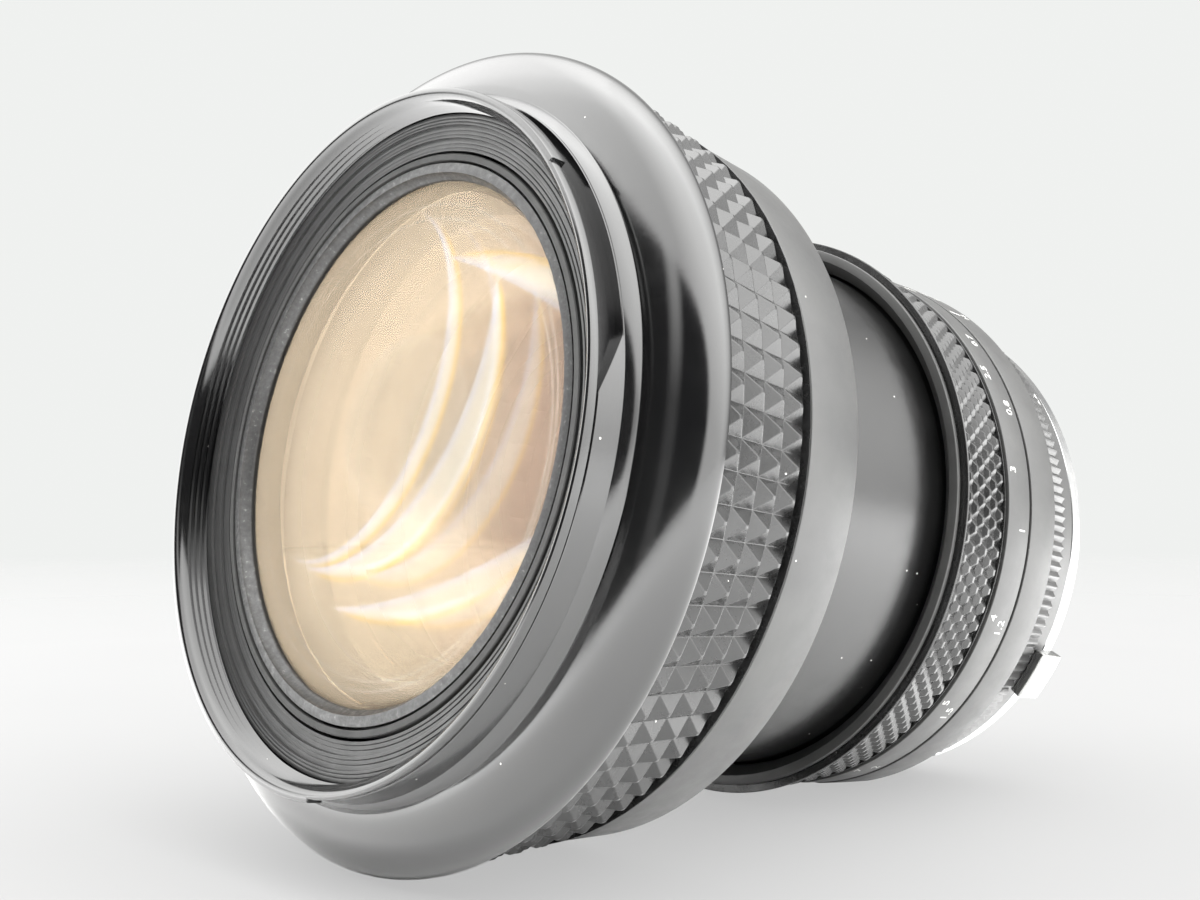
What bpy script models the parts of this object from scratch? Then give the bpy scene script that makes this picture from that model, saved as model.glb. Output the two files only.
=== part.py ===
"""Prime camera lens for a single-lens reflex camera, built as an assembly.

The optical axis is the Y axis.  The front of the lens faces -Y, +Z is up, and the
origin is the centre of the mount's flange face.  Turned pieces are given as closed
outlines of (y, radius) points and spun about the axis.
"""
import math

import bmesh
import bpy
from mathutils import Matrix, Vector

MM = 0.001

# ---------------------------------------------------------------- driving dimensions (mm)
GAP = 0.3                  # clearance between pieces that touch or run on each other
OUTER_STEPS = 36           # facets round the outer rings
INNER_STEPS = 24           # facets round the pieces inside

# Travels
FOCUS_TRAVEL = 16.0        # how far the lens block draws back
CELL_TRAVEL = 2.5          # how far the control ring moves the front cell
BLADE_TURN = 34.0          # degrees a blade swings from wide open to the smallest stop

# Front shroud, with filter thread and hood bayonet
RIM_RADIUS = 34.7
FILTER_RADIUS = 33.3
RIM_FLANGE = 1.6           # axial depth of the hood bayonet flange
BAYONET_GROOVE_RADIUS = 33.9
BAYONET_GROOVE_DEPTH = 3.3
SHOULDER_RADIUS = 35.7
SHOULDER_DEPTH = 4.7
SHROUD_RADIUS = 41.5
SHROUD_BULGE_DEPTH = 9.0   # from the rim to where the bulge is widest
SHROUD_LENGTH = 9.6
SHROUD_WALL = 1.6
SHROUD_WEB_DEPTH = 5.0     # from the rim to the wall that carries the front cell

# Control ring
CONTROL_GRIP_STEP = 0.4    # how far the grip's front lies below the shroud
CONTROL_GRIP_TAPER = 1.9   # how much smaller in radius its rear is
CONTROL_GRIP_LENGTH = 12.8
CONTROL_GRIP_THICKNESS = 1.7
CONTROL_GRIP_REAR_THICKNESS = 1.0
CONTROL_SKIRT_LENGTH = 7.9
CONTROL_SKIRT_STEP = 0.7   # from the grip's rear down to the skirt
CONTROL_SKIRT_RISE = 0.5   # how much wider the skirt is beside the grip
CONTROL_SKIRT_WALL = 1.1
CONTROL_LIP_HEIGHT = 0.8   # of the lip behind the bearing flange
CONTROL_LIP_DEPTH = 1.2

# Inner barrel, bare between the two grips
BARREL_RADIUS = 31.0
BARREL_WALL = 1.6
BARREL_GAP_LENGTH = 24.3   # how much of it shows when extended
BARREL_THREAD_CLEARANCE = 0.6   # between its threaded rear end and the housing
BARREL_THREAD_LENGTH = 4.0
BARREL_BEARING_RADIUS = 36.4
BARREL_BEARING_LENGTH = 3.6
BARREL_NOSE_LENGTH = 6.3   # the tube in front of the bearing flange

# Focus ring
FOCUS_MOUTH_RADIUS = 33.6
FOCUS_MOUTH_LENGTH = 0.5
FOCUS_GRIP_FRONT_RADIUS = 34.5
FOCUS_GRIP_REAR_RADIUS = 33.2
FOCUS_GRIP_LENGTH = 10.2
FOCUS_SKIRT_LENGTH = 4.9
TONGUE_LENGTH = 3.2        # the part that runs inside the scale ring

# Fixed housing and aperture ring
SCALE_RING_RADIUS = 33.5
SCALE_RING_LENGTH = 5.4
SCALE_RING_WALL = 1.2
HOUSING_WALL = 1.0
HOUSING_WEB = 1.3
HOUSING_FLOOR = 1.4
HOUSING_FLOOR_LEDGE = 1.2  # how much wider its opening is than the throat
APERTURE_RING_RADIUS = 32.3
APERTURE_RING_LENGTH = 7.8
APERTURE_RIBS_LENGTH = 4.5
PRONG_DEG = -32.0
INDEX_RADIUS = 0.9
DETENT_DEG = -60.0
DETENT_BALL_RADIUS = 0.6

# Mount
MOUNT_RIM = 0.6            # how far the plate stands out past the housing tube
MOUNT_THICKNESS = 2.4
MOUNT_THROAT_RADIUS = 21.6
BAYONET_WALL = 1.8
BAYONET_LENGTH = 4.2
BAYONET_LUG_HEIGHT = 1.8
LUG_COUNT = 3
LUG_SPAN = 46.0            # degrees
MOUNT_SCREW_COUNT = 4
MOUNT_SCREW_INSET = 2.5    # from the outside of the housing tube to a screw's axis
MOUNT_SCREW_HEAD_RADIUS = 1.5
MOUNT_SCREW_SHANK_RADIUS = 0.75
MOUNT_SCREW_LENGTH = 4.2
MASK_WIDTH = 4.6

# Guide tube and its keys
GUIDE_TUBE_SPACE = 2.2     # between the tube and the barrel's bore, where the keys run
GUIDE_TUBE_WALL = 1.2
KEY_WIDTH = 4.0
KEY_COUNT = 2

# Glass and cells
GLASS_SEAT_WALL = 1.9      # cell barrel outside the front glass
GLASS_LIP = 0.4            # how far the retaining ring covers the front glass
GLASS_DEPTH = 5.3          # from the rim to the glass's front edge
GLASS_EDGE = 3.5
SECOND_GLASS_STEP = 2.6    # how much smaller the second glass is than the first
THIRD_GLASS_SEAT = 2.7     # how much larger the third glass is than the iris opening
REAR_GLASS_SEAT = 1.8
CELL_CLEARANCE = 0.4       # between the front cell and the barrel it slides in
CELL_LENGTH = 19.4
CELL_PIN_RADIUS = 0.8
CELL_PIN_COUNT = 3
REAR_CELL_LENGTH = 17.6

# Iris, its drive ring and the stop-down lever
IRIS_TO_STEP = 22.6        # from the plate that the blades pivot in to the end of the bare tube
IRIS_WEB_THICKNESS = 1.2
IRIS_WALL = 1.1
IRIS_LAND = 10.1           # from the opening to the wall round the blades
BLADE_COUNT = 7
BLADE_THICKNESS = 0.25
BLADE_PITCH = 0.55         # axial step from one blade to the next
BLADE_WIDTH = 3.0
BLADE_ARC = 88.0           # degrees of a blade's curve
BLADE_PIVOT_INSET = 5.0    # from the wall round the blades to a pivot
BLADE_DRIVE_INSET = 1.7
BLADE_PIN_RADIUS = 0.5
DRIVE_RING_THICKNESS = 1.0
LEVER_RING_THICKNESS = 1.2
FORK_DEG = 180.0
FORK_ARM_SPAN = 4.0        # degrees
FORK_PRONG_SPAN = 3.0      # degrees
FORK_OVERLAP = 2.0         # how far the drive arm lies between the fork's prongs
FORK_INSET = 0.6           # from the wall round the blades to the fork
FORK_THICKNESS = 1.3
LEVER_INSET = 1.8          # from the throat to the inside of the lever
LEVER_SPAN = 8.0           # degrees

# ---------------------------------------------------------------- stations along the axis (mm)
MOUNT_FACE_Y = 0.0
MOUNT_FRONT_Y = MOUNT_FACE_Y - MOUNT_THICKNESS
APERTURE_REAR_Y = MOUNT_FRONT_Y - GAP
APERTURE_FRONT_Y = APERTURE_REAR_Y - APERTURE_RING_LENGTH
APERTURE_RIBS_REAR_Y = APERTURE_FRONT_Y + APERTURE_RIBS_LENGTH
SCALE_REAR_Y = APERTURE_FRONT_Y - GAP
SCALE_FRONT_Y = SCALE_REAR_Y - SCALE_RING_LENGTH
INDEX_Y = (SCALE_FRONT_Y + SCALE_REAR_Y) / 2
FOCUS_REAR_Y = SCALE_FRONT_Y - GAP
FOCUS_GRIP_REAR_Y = FOCUS_REAR_Y - FOCUS_SKIRT_LENGTH
FOCUS_GRIP_FRONT_Y = FOCUS_GRIP_REAR_Y - FOCUS_GRIP_LENGTH
FOCUS_FRONT_Y = FOCUS_GRIP_FRONT_Y - FOCUS_MOUTH_LENGTH
CONTROL_REAR_Y = FOCUS_FRONT_Y - BARREL_GAP_LENGTH
CONTROL_GRIP_REAR_Y = CONTROL_REAR_Y - CONTROL_SKIRT_LENGTH
CONTROL_FRONT_Y = CONTROL_GRIP_REAR_Y - CONTROL_GRIP_LENGTH
SHROUD_REAR_Y = CONTROL_FRONT_Y - GAP
RIM_Y = SHROUD_REAR_Y - SHROUD_LENGTH
SHROUD_BULGE_Y = RIM_Y + SHROUD_BULGE_DEPTH
SHROUD_WEB_Y = RIM_Y + SHROUD_WEB_DEPTH
SHOULDER_Y = RIM_Y + SHOULDER_DEPTH
BAYONET_GROOVE_REAR_Y = RIM_Y + BAYONET_GROOVE_DEPTH
HOUSING_REAR_Y = MOUNT_FRONT_Y - GAP
HOUSING_FLOOR_Y = HOUSING_REAR_Y - HOUSING_FLOOR   # front face of the housing's rear wall
HOUSING_WEB_Y = SCALE_REAR_Y - HOUSING_WEB         # front face of the wall that stops the barrel
DETENT_Y = HOUSING_FLOOR_Y - 2.9

BARREL_BEARING_Y = CONTROL_FRONT_Y + 7.0    # front face of the flange the control ring turns on
BARREL_FRONT_Y = BARREL_BEARING_Y - BARREL_NOSE_LENGTH
BARREL_STEP_Y = HOUSING_WEB_Y - GAP - FOCUS_TRAVEL   # where the bare tube ends
BARREL_REAR_Y = BARREL_STEP_Y + BARREL_THREAD_LENGTH
CELL_FRONT_Y = RIM_Y + 3.6
CELL_REAR_Y = CELL_FRONT_Y + CELL_LENGTH
CELL_PIN_Y = BARREL_FRONT_Y + CELL_TRAVEL + 0.7
GLASS_FRONT_Y = RIM_Y + GLASS_DEPTH
GLASS_REAR_Y = GLASS_FRONT_Y + GLASS_EDGE
SECOND_FRONT_Y = GLASS_REAR_Y + 3.0
SECOND_REAR_Y = SECOND_FRONT_Y + 3.0
IRIS_WEB_Y = BARREL_STEP_Y - IRIS_TO_STEP
IRIS_WEB_REAR_Y = IRIS_WEB_Y + IRIS_WEB_THICKNESS
BLADE_FRONT_Y = IRIS_WEB_REAR_Y + 0.4
DRIVE_RING_Y = BLADE_FRONT_Y + BLADE_PITCH * BLADE_COUNT + 0.05
REAR_CELL_Y = DRIVE_RING_Y + DRIVE_RING_THICKNESS + GAP
REAR_CELL_END_Y = REAR_CELL_Y + REAR_CELL_LENGTH
GUIDE_FRONT_Y = IRIS_WEB_REAR_Y + FOCUS_TRAVEL + 0.4
FORK_FRONT_Y = REAR_CELL_Y + 1.4 + FOCUS_TRAVEL + 1.3

# ---------------------------------------------------------------- radii and angles that follow
CONTROL_GRIP_FRONT_RADIUS = SHROUD_RADIUS - CONTROL_GRIP_STEP
CONTROL_GRIP_REAR_RADIUS = CONTROL_GRIP_FRONT_RADIUS - CONTROL_GRIP_TAPER
CONTROL_SKIRT_RADIUS = CONTROL_GRIP_REAR_RADIUS - CONTROL_SKIRT_STEP
TONGUE_BORE = SCALE_RING_RADIUS - SCALE_RING_WALL
BARREL_BORE = BARREL_RADIUS - BARREL_WALL
HOUSING_BORE = BARREL_BORE
HOUSING_RADIUS = HOUSING_BORE + HOUSING_WALL
BARREL_THREAD_RADIUS = HOUSING_BORE - BARREL_THREAD_CLEARANCE
GUIDE_TUBE_RADIUS = BARREL_BORE - GUIDE_TUBE_SPACE
GUIDE_TUBE_BORE = GUIDE_TUBE_RADIUS - GUIDE_TUBE_WALL
IRIS_WALL_RADIUS = GUIDE_TUBE_BORE - GAP - IRIS_WALL
IRIS_OPENING_RADIUS = IRIS_WALL_RADIUS - IRIS_LAND
BLADE_PIVOT_RADIUS = IRIS_WALL_RADIUS - BLADE_PIVOT_INSET
BLADE_DRIVE_RADIUS = IRIS_WALL_RADIUS - BLADE_DRIVE_INSET
FORK_OUTER_RADIUS = IRIS_WALL_RADIUS - FORK_INSET
FORK_INNER_RADIUS = FORK_OUTER_RADIUS - FORK_THICKNESS
CELL_RADIUS = BARREL_BORE - CELL_CLEARANCE
GLASS_RADIUS = CELL_RADIUS - GLASS_SEAT_WALL - GAP
GLASS_OPENING_RADIUS = GLASS_RADIUS - GLASS_LIP
SECOND_GLASS_RADIUS = GLASS_RADIUS - SECOND_GLASS_STEP
THIRD_GLASS_RADIUS = IRIS_OPENING_RADIUS + THIRD_GLASS_SEAT
REAR_GLASS_RADIUS = IRIS_OPENING_RADIUS + REAR_GLASS_SEAT
MOUNT_RADIUS = HOUSING_RADIUS + MOUNT_RIM
MOUNT_SCREW_CIRCLE = HOUSING_RADIUS - MOUNT_SCREW_INSET
BAYONET_RADIUS = MOUNT_THROAT_RADIUS + BAYONET_WALL
BAYONET_LUG_RADIUS = BAYONET_RADIUS + BAYONET_LUG_HEIGHT
MASK_RADIUS = MOUNT_THROAT_RADIUS - MASK_WIDTH
LEVER_INNER_RADIUS = MOUNT_THROAT_RADIUS - LEVER_INSET
DRIVE_OFFSET = BLADE_DRIVE_RADIUS - BLADE_PIVOT_RADIUS
DRIVE_TURN = math.degrees(math.atan2(
    DRIVE_OFFSET * math.sin(math.radians(BLADE_TURN)),
    BLADE_PIVOT_RADIUS + DRIVE_OFFSET * math.cos(math.radians(BLADE_TURN))))


# ---------------------------------------------------------------- materials
def material(name, colour, roughness, metallic=0.0, alpha=1.0):
    mat = bpy.data.materials.new(name)
    mat.use_nodes = True
    shader = mat.node_tree.nodes["Principled BSDF"]
    shader.inputs["Base Color"].default_value = (*colour, 1.0)
    shader.inputs["Roughness"].default_value = roughness
    shader.inputs["Metallic"].default_value = metallic
    shader.inputs["Alpha"].default_value = alpha
    return mat


# ---------------------------------------------------------------- shape helpers
def new_object(name, bm, mat):
    """Make a smooth-shaded object from a bmesh whose points are in metres."""
    bmesh.ops.recalc_face_normals(bm, faces=bm.faces)
    mesh = bpy.data.meshes.new(name)
    bm.to_mesh(mesh)
    bm.free()
    mesh.shade_smooth()
    mesh.set_sharp_from_angle(angle=math.radians(35))
    obj = bpy.data.objects.new(name, mesh)
    obj.data.materials.append(mat)
    bpy.context.scene.collection.objects.link(obj)
    return obj


def turned(name, outline, steps, mat):
    """Spin a closed (y, radius) outline, in mm, about the optical axis."""
    bm = bmesh.new()
    points = [bm.verts.new((radius * MM, y * MM, 0.0)) for y, radius in outline]
    edges = [bm.edges.new((a, b)) for a, b in zip(points, points[1:] + points[:1])
             if a.co.x > 0.0 or b.co.x > 0.0]
    bmesh.ops.spin(bm, geom=points + edges, cent=(0, 0, 0), axis=(0, 1, 0),
                   angle=math.tau, steps=steps, use_duplicate=False)
    bmesh.ops.remove_doubles(bm, verts=bm.verts, dist=1e-6)
    return new_object(name, bm, mat)


def turned_at(name, outline, place, steps, mat):
    """Like turned, but about a line parallel to the optical axis through place, in mm."""
    obj = turned(name, outline, steps, mat)
    obj.data.transform(Matrix.Translation(Vector(place) * MM))
    return obj


def ring(name, y_front, y_rear, inner, outer, steps, mat):
    return turned(name, [(y_front, inner), (y_front, outer), (y_rear, outer), (y_rear, inner)],
                  steps, mat)


def sagitta(surface_radius, radius):
    """Depth of a ball of surface_radius at the given distance from the axis."""
    return surface_radius - math.sqrt(surface_radius ** 2 - radius ** 2)


def rise(curve, edge_radius, radius):
    """How far a bulging face stands proud of its own edge at the given radius."""
    return sagitta(curve, edge_radius) - sagitta(curve, radius)


def lens_outline(edge_front_y, edge_rear_y, edge_radius, front_curve, rear_curve, rings):
    """Outline of a lens.  A positive curve bulges to the front, a negative one to the rear."""
    def face(edge_y, curve):
        if curve == 0.0:
            return [(edge_y, 0.0)]
        side = math.copysign(1.0, curve)
        deep = sagitta(abs(curve), edge_radius)
        return [(edge_y - side * (deep - sagitta(abs(curve), edge_radius * i / rings)),
                 edge_radius * i / rings) for i in range(rings)]
    front = face(edge_front_y, front_curve)
    rear = face(edge_rear_y, rear_curve)
    return front + [(edge_front_y, edge_radius), (edge_rear_y, edge_radius)] + rear[::-1]


def sector(name, y_front, y_rear, inner, outer, middle_deg, span_deg, steps, mat):
    """A block with curved inner and outer faces, round the axis."""
    bm = bmesh.new()
    corners = [(inner, y_front), (outer, y_front), (outer, y_rear), (inner, y_rear)]
    start = math.radians(middle_deg - span_deg / 2)
    points = [bm.verts.new((r * MM * math.cos(start), y * MM, r * MM * math.sin(start)))
              for r, y in corners]
    face = bm.faces.new(points)
    bmesh.ops.spin(bm, geom=[face], cent=(0, 0, 0), axis=(0, -1, 0),
                   angle=math.radians(span_deg), steps=steps, use_duplicate=False)
    bmesh.ops.holes_fill(bm, edges=[e for e in bm.edges if e.is_boundary])
    return new_object(name, bm, mat)


def rod(name, centre, direction, radius, length, steps, mat):
    """A round rod that starts at centre and runs along direction, in mm."""
    bm = bmesh.new()
    bmesh.ops.create_cone(bm, cap_ends=True, segments=steps, radius1=radius * MM,
                          radius2=radius * MM, depth=length * MM)
    way = Vector(direction).normalized()
    turn = way.to_track_quat("Z", "Y").to_matrix().to_4x4()
    middle = Vector(centre) * MM + way * (length * MM / 2)
    bmesh.ops.transform(bm, matrix=Matrix.Translation(middle) @ turn, verts=bm.verts)
    return new_object(name, bm, mat)


def polar(radius, degrees, y):
    return (radius * math.cos(math.radians(degrees)), y, radius * math.sin(math.radians(degrees)))


def as_cutter(obj):
    obj.hide_render = True
    obj.display_type = "WIRE"
    return obj


def combine(obj, other, operation):
    boolean = obj.modifiers.new(operation.lower(), "BOOLEAN")
    boolean.operation = operation
    boolean.object = as_cutter(other)


def cut(obj, other):
    combine(obj, other, "DIFFERENCE")


def add(obj, other):
    combine(obj, other, "UNION")


def around(count, offset=0.0):
    return [offset + 360.0 * i / count for i in range(count)]


def hinge_at(name, children, point=(0.0, 0.0, 0.0)):
    """An empty on a joint's axis, with the pieces that turn about it as its children."""
    empty = bpy.data.objects.new(name, None)
    empty.location = Vector(point) * MM
    bpy.context.scene.collection.objects.link(empty)
    for child in children:
        child.parent = empty
        child.matrix_parent_inverse = Matrix.Translation(-empty.location)
    return empty


# ---------------------------------------------------------------- fixed pieces
def build_housing(mats):
    """The fixed rear barrel: scale ring land, rear wall and the tube under the aperture ring."""
    inner = HOUSING_BORE
    floor_radius = MOUNT_THROAT_RADIUS + HOUSING_FLOOR_LEDGE
    housing = turned("fixed_housing", [
        (SCALE_FRONT_Y, TONGUE_BORE), (SCALE_FRONT_Y, SCALE_RING_RADIUS),
        (SCALE_REAR_Y, SCALE_RING_RADIUS), (SCALE_REAR_Y, HOUSING_RADIUS),
        (HOUSING_REAR_Y, HOUSING_RADIUS), (HOUSING_REAR_Y, floor_radius),
        (HOUSING_FLOOR_Y, floor_radius), (HOUSING_FLOOR_Y, inner),
        (HOUSING_WEB_Y, inner), (HOUSING_WEB_Y, TONGUE_BORE)], OUTER_STEPS, mats["satin_black"])
    for i, angle in enumerate(around(MOUNT_SCREW_COUNT, 45.0)):
        cut(housing, rod(f"housing_hole_cutter_{i}",
                         polar(MOUNT_SCREW_CIRCLE, angle, HOUSING_FLOOR_Y - 1.0), (0, 1, 0),
                         MOUNT_SCREW_SHANK_RADIUS + GAP, 4.0, 12, mats["satin_black"]))
    cut(housing, rod("ball_hole_cutter", polar(inner - 0.6, DETENT_DEG, DETENT_Y),
                     polar(1.0, DETENT_DEG, 0.0), DETENT_BALL_RADIUS + GAP, 2.4, 12,
                     mats["satin_black"]))
    cut(housing, rod("bead_hole_cutter", (0.0, INDEX_Y, SCALE_RING_RADIUS - 0.7), (0, 0, 1),
                     INDEX_RADIUS + GAP, 2.0, 12, mats["satin_black"]))
    bead_floor = SCALE_RING_RADIUS - 0.7 + GAP
    rod("index_bead", (0.0, INDEX_Y, bead_floor), (0, 0, 1), INDEX_RADIUS,
        SCALE_RING_RADIUS - bead_floor, 12, mats["index_white"])
    return housing


def build_guide_tube(mats):
    """The tube inside, whose keys keep the lens block from turning as it slides."""
    flange_rear = HOUSING_FLOOR_Y - GAP
    tube = turned("guide_tube", [
        (GUIDE_FRONT_Y, GUIDE_TUBE_BORE), (GUIDE_FRONT_Y, GUIDE_TUBE_RADIUS),
        (flange_rear - 1.2, GUIDE_TUBE_RADIUS),
        (flange_rear - 1.2, HOUSING_BORE - GAP),
        (flange_rear, HOUSING_BORE - GAP),
        (flange_rear, GUIDE_TUBE_BORE)], INNER_STEPS, mats["aluminium"])
    key_span = math.degrees(KEY_WIDTH / GUIDE_TUBE_RADIUS)
    for i, angle in enumerate(around(KEY_COUNT, 90.0)):
        sector(f"guide_key_{i + 1}", GUIDE_FRONT_Y + 0.5, BARREL_REAR_Y + FOCUS_TRAVEL,
               GUIDE_TUBE_RADIUS + GAP, BARREL_BORE - GAP, angle, key_span, 2,
               mats["brass"])
    return tube


def build_mount(mats):
    """Bayonet plate, its screws, and the dark mask in its throat."""
    plate = turned("mount_plate", [
        (MOUNT_FRONT_Y, MOUNT_THROAT_RADIUS), (MOUNT_FRONT_Y, MOUNT_RADIUS - 0.4),
        (MOUNT_FRONT_Y + 0.4, MOUNT_RADIUS), (MOUNT_FACE_Y, MOUNT_RADIUS),
        (MOUNT_FACE_Y, BAYONET_RADIUS),
        (BAYONET_LENGTH, BAYONET_RADIUS), (BAYONET_LENGTH, MOUNT_THROAT_RADIUS)],
        OUTER_STEPS, mats["chrome"])
    for i, angle in enumerate(around(LUG_COUNT, 30.0)):
        add(plate, sector(f"lug_shape_{i}", BAYONET_LENGTH - 1.9, BAYONET_LENGTH - 0.4,
                          BAYONET_RADIUS - 0.6, BAYONET_LUG_RADIUS, angle, LUG_SPAN, 6,
                          mats["chrome"]))
    head_depth = 1.0
    for i, angle in enumerate(around(MOUNT_SCREW_COUNT, 45.0)):
        seat = -head_depth - 2 * GAP
        hole = turned_at(f"screw_hole_cutter_{i}", [
            (-MOUNT_THICKNESS - 1.0, 0.0), (-MOUNT_THICKNESS - 1.0, MOUNT_SCREW_SHANK_RADIUS + GAP),
            (seat, MOUNT_SCREW_SHANK_RADIUS + GAP), (seat, MOUNT_SCREW_HEAD_RADIUS + GAP),
            (1.0, MOUNT_SCREW_HEAD_RADIUS + GAP), (1.0, 0.0)],
            polar(MOUNT_SCREW_CIRCLE, angle, 0.0), 12, mats["chrome"])
        cut(plate, hole)
        turned_at(f"mount_screw_{i + 1}", [
            (-MOUNT_SCREW_LENGTH, 0.0), (-MOUNT_SCREW_LENGTH, MOUNT_SCREW_SHANK_RADIUS),
            (-GAP - head_depth, MOUNT_SCREW_SHANK_RADIUS), (-GAP - head_depth, MOUNT_SCREW_HEAD_RADIUS),
            (-GAP, MOUNT_SCREW_HEAD_RADIUS), (-GAP, 0.0)],
            polar(MOUNT_SCREW_CIRCLE, angle, 0.0), 12, mats["steel"])
    mask = ring("rear_mask", BAYONET_LENGTH - 1.6, BAYONET_LENGTH - 0.4, MASK_RADIUS,
                MOUNT_THROAT_RADIUS - GAP, INNER_STEPS, mats["matt_black"])
    cut(mask, sector("lever_slot_cutter", 0.0, BAYONET_LENGTH + 1.0, LEVER_INNER_RADIUS - GAP,
                     MOUNT_THROAT_RADIUS + 1.0, FORK_DEG + DRIVE_TURN / 2,
                     LEVER_SPAN + DRIVE_TURN + 4.0, 4, mats["matt_black"]))
    return plate


def build_detent(mats):
    """Click ball of the aperture ring and the leaf spring that pushes it."""
    wall_inside = HOUSING_BORE
    bm = bmesh.new()
    bmesh.ops.create_icosphere(bm, subdivisions=2, radius=DETENT_BALL_RADIUS * MM)
    centre = polar(wall_inside + 0.55, DETENT_DEG, DETENT_Y)
    bmesh.ops.translate(bm, verts=bm.verts, vec=Vector(centre) * MM)
    new_object("detent_ball", bm, mats["steel"])
    sector("detent_spring", DETENT_Y - 0.8, DETENT_Y + 0.8, wall_inside - 2 * GAP,
           wall_inside - GAP, DETENT_DEG, 26.0, 4, mats["steel"])


# ---------------------------------------------------------------- turning and sliding pieces
def build_focus_ring(mats):
    bore = BARREL_RADIUS + GAP
    seat = FOCUS_GRIP_REAR_RADIUS - 1.1
    skirt = FOCUS_GRIP_REAR_RADIUS + 0.2
    grip_front, grip_rear = FOCUS_GRIP_FRONT_Y + GAP, FOCUS_GRIP_REAR_Y
    sleeve = turned("focus_sleeve", [
        (FOCUS_FRONT_Y + 1.2, bore), (FOCUS_FRONT_Y, bore + 1.2),
        (FOCUS_FRONT_Y, FOCUS_MOUTH_RADIUS), (FOCUS_GRIP_FRONT_Y, FOCUS_MOUTH_RADIUS),
        (FOCUS_GRIP_FRONT_Y, seat), (grip_rear + GAP, seat), (grip_rear + GAP, skirt),
        (FOCUS_REAR_Y, skirt), (FOCUS_REAR_Y, TONGUE_BORE - GAP),
        (FOCUS_REAR_Y + TONGUE_LENGTH, TONGUE_BORE - GAP), (FOCUS_REAR_Y + TONGUE_LENGTH, bore)],
        OUTER_STEPS, mats["satin_black"])
    grip = turned("focus_grip", [
        (grip_front, seat + GAP), (grip_front, FOCUS_GRIP_FRONT_RADIUS),
        (grip_rear, FOCUS_GRIP_REAR_RADIUS), (grip_rear, seat + GAP)], OUTER_STEPS, mats["rubber"])
    return [sleeve, grip]


def build_inner_barrel(mats):
    """The bare tube between the grips, with the flange that the control ring turns on."""
    inner = BARREL_BORE
    thread_inner = GUIDE_TUBE_RADIUS + GAP
    barrel = turned("inner_barrel", [
        (BARREL_FRONT_Y, inner), (BARREL_FRONT_Y, BARREL_RADIUS),
        (BARREL_BEARING_Y, BARREL_RADIUS), (BARREL_BEARING_Y, BARREL_BEARING_RADIUS),
        (BARREL_BEARING_Y + BARREL_BEARING_LENGTH, BARREL_BEARING_RADIUS),
        (BARREL_BEARING_Y + BARREL_BEARING_LENGTH, BARREL_RADIUS),
        (BARREL_STEP_Y, BARREL_RADIUS), (BARREL_STEP_Y, BARREL_THREAD_RADIUS),
        (BARREL_REAR_Y, BARREL_THREAD_RADIUS), (BARREL_REAR_Y, thread_inner),
        (BARREL_STEP_Y - 1.4, thread_inner), (BARREL_STEP_Y - 1.4, inner)],
        OUTER_STEPS, mats["gloss_black"])
    key_span = math.degrees((KEY_WIDTH + 2 * GAP) / GUIDE_TUBE_RADIUS)
    for i, angle in enumerate(around(KEY_COUNT, 90.0)):
        cut(barrel, sector(f"key_slot_cutter_{i}", BARREL_STEP_Y - 3.0, BARREL_REAR_Y + 1.0,
                           thread_inner - 0.5, inner - 0.02, angle, key_span, 2,
                           mats["gloss_black"]))
    pin_span = math.degrees(2 * (CELL_PIN_RADIUS + GAP) / BARREL_RADIUS)
    for i, angle in enumerate(around(CELL_PIN_COUNT, 30.0)):
        cut(barrel, sector(f"pin_slot_cutter_{i}", BARREL_FRONT_Y - 1.0,
                           CELL_PIN_Y + CELL_PIN_RADIUS + GAP, inner - 1.0, BARREL_RADIUS + 1.0,
                           angle, pin_span, 2, mats["gloss_black"]))
    return barrel


def build_control_ring(mats):
    bore = BARREL_BEARING_RADIUS + GAP
    lip_front = BARREL_BEARING_Y + BARREL_BEARING_LENGTH + GAP
    skirt_inner = CONTROL_SKIRT_RADIUS - CONTROL_SKIRT_WALL
    front_seat = CONTROL_GRIP_FRONT_RADIUS - CONTROL_GRIP_THICKNESS - GAP
    rear_seat = CONTROL_GRIP_REAR_RADIUS - CONTROL_GRIP_REAR_THICKNESS - GAP
    sleeve = turned("control_sleeve", [
        (CONTROL_FRONT_Y, bore), (CONTROL_FRONT_Y, front_seat),
        (CONTROL_GRIP_REAR_Y + GAP, rear_seat),
        (CONTROL_GRIP_REAR_Y + GAP, CONTROL_SKIRT_RADIUS + CONTROL_SKIRT_RISE),
        (CONTROL_REAR_Y, CONTROL_SKIRT_RADIUS), (CONTROL_REAR_Y, skirt_inner + GAP),
        (lip_front + CONTROL_LIP_DEPTH, skirt_inner),
        (lip_front + CONTROL_LIP_DEPTH, bore - CONTROL_LIP_HEIGHT),
        (lip_front, bore - CONTROL_LIP_HEIGHT), (lip_front, bore)], OUTER_STEPS, mats["satin_black"])
    grip = turned("control_grip", [
        (CONTROL_FRONT_Y, front_seat + GAP), (CONTROL_FRONT_Y, CONTROL_GRIP_FRONT_RADIUS),
        (CONTROL_GRIP_REAR_Y, CONTROL_GRIP_REAR_RADIUS), (CONTROL_GRIP_REAR_Y, rear_seat + GAP)],
        OUTER_STEPS, mats["rubber"])
    keeper = ring("control_retaining_ring", BARREL_BEARING_Y - GAP - 1.4, BARREL_BEARING_Y - GAP,
                  BARREL_RADIUS + 0.6, bore - GAP, OUTER_STEPS, mats["brass"])
    return [sleeve, grip, keeper]


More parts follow.
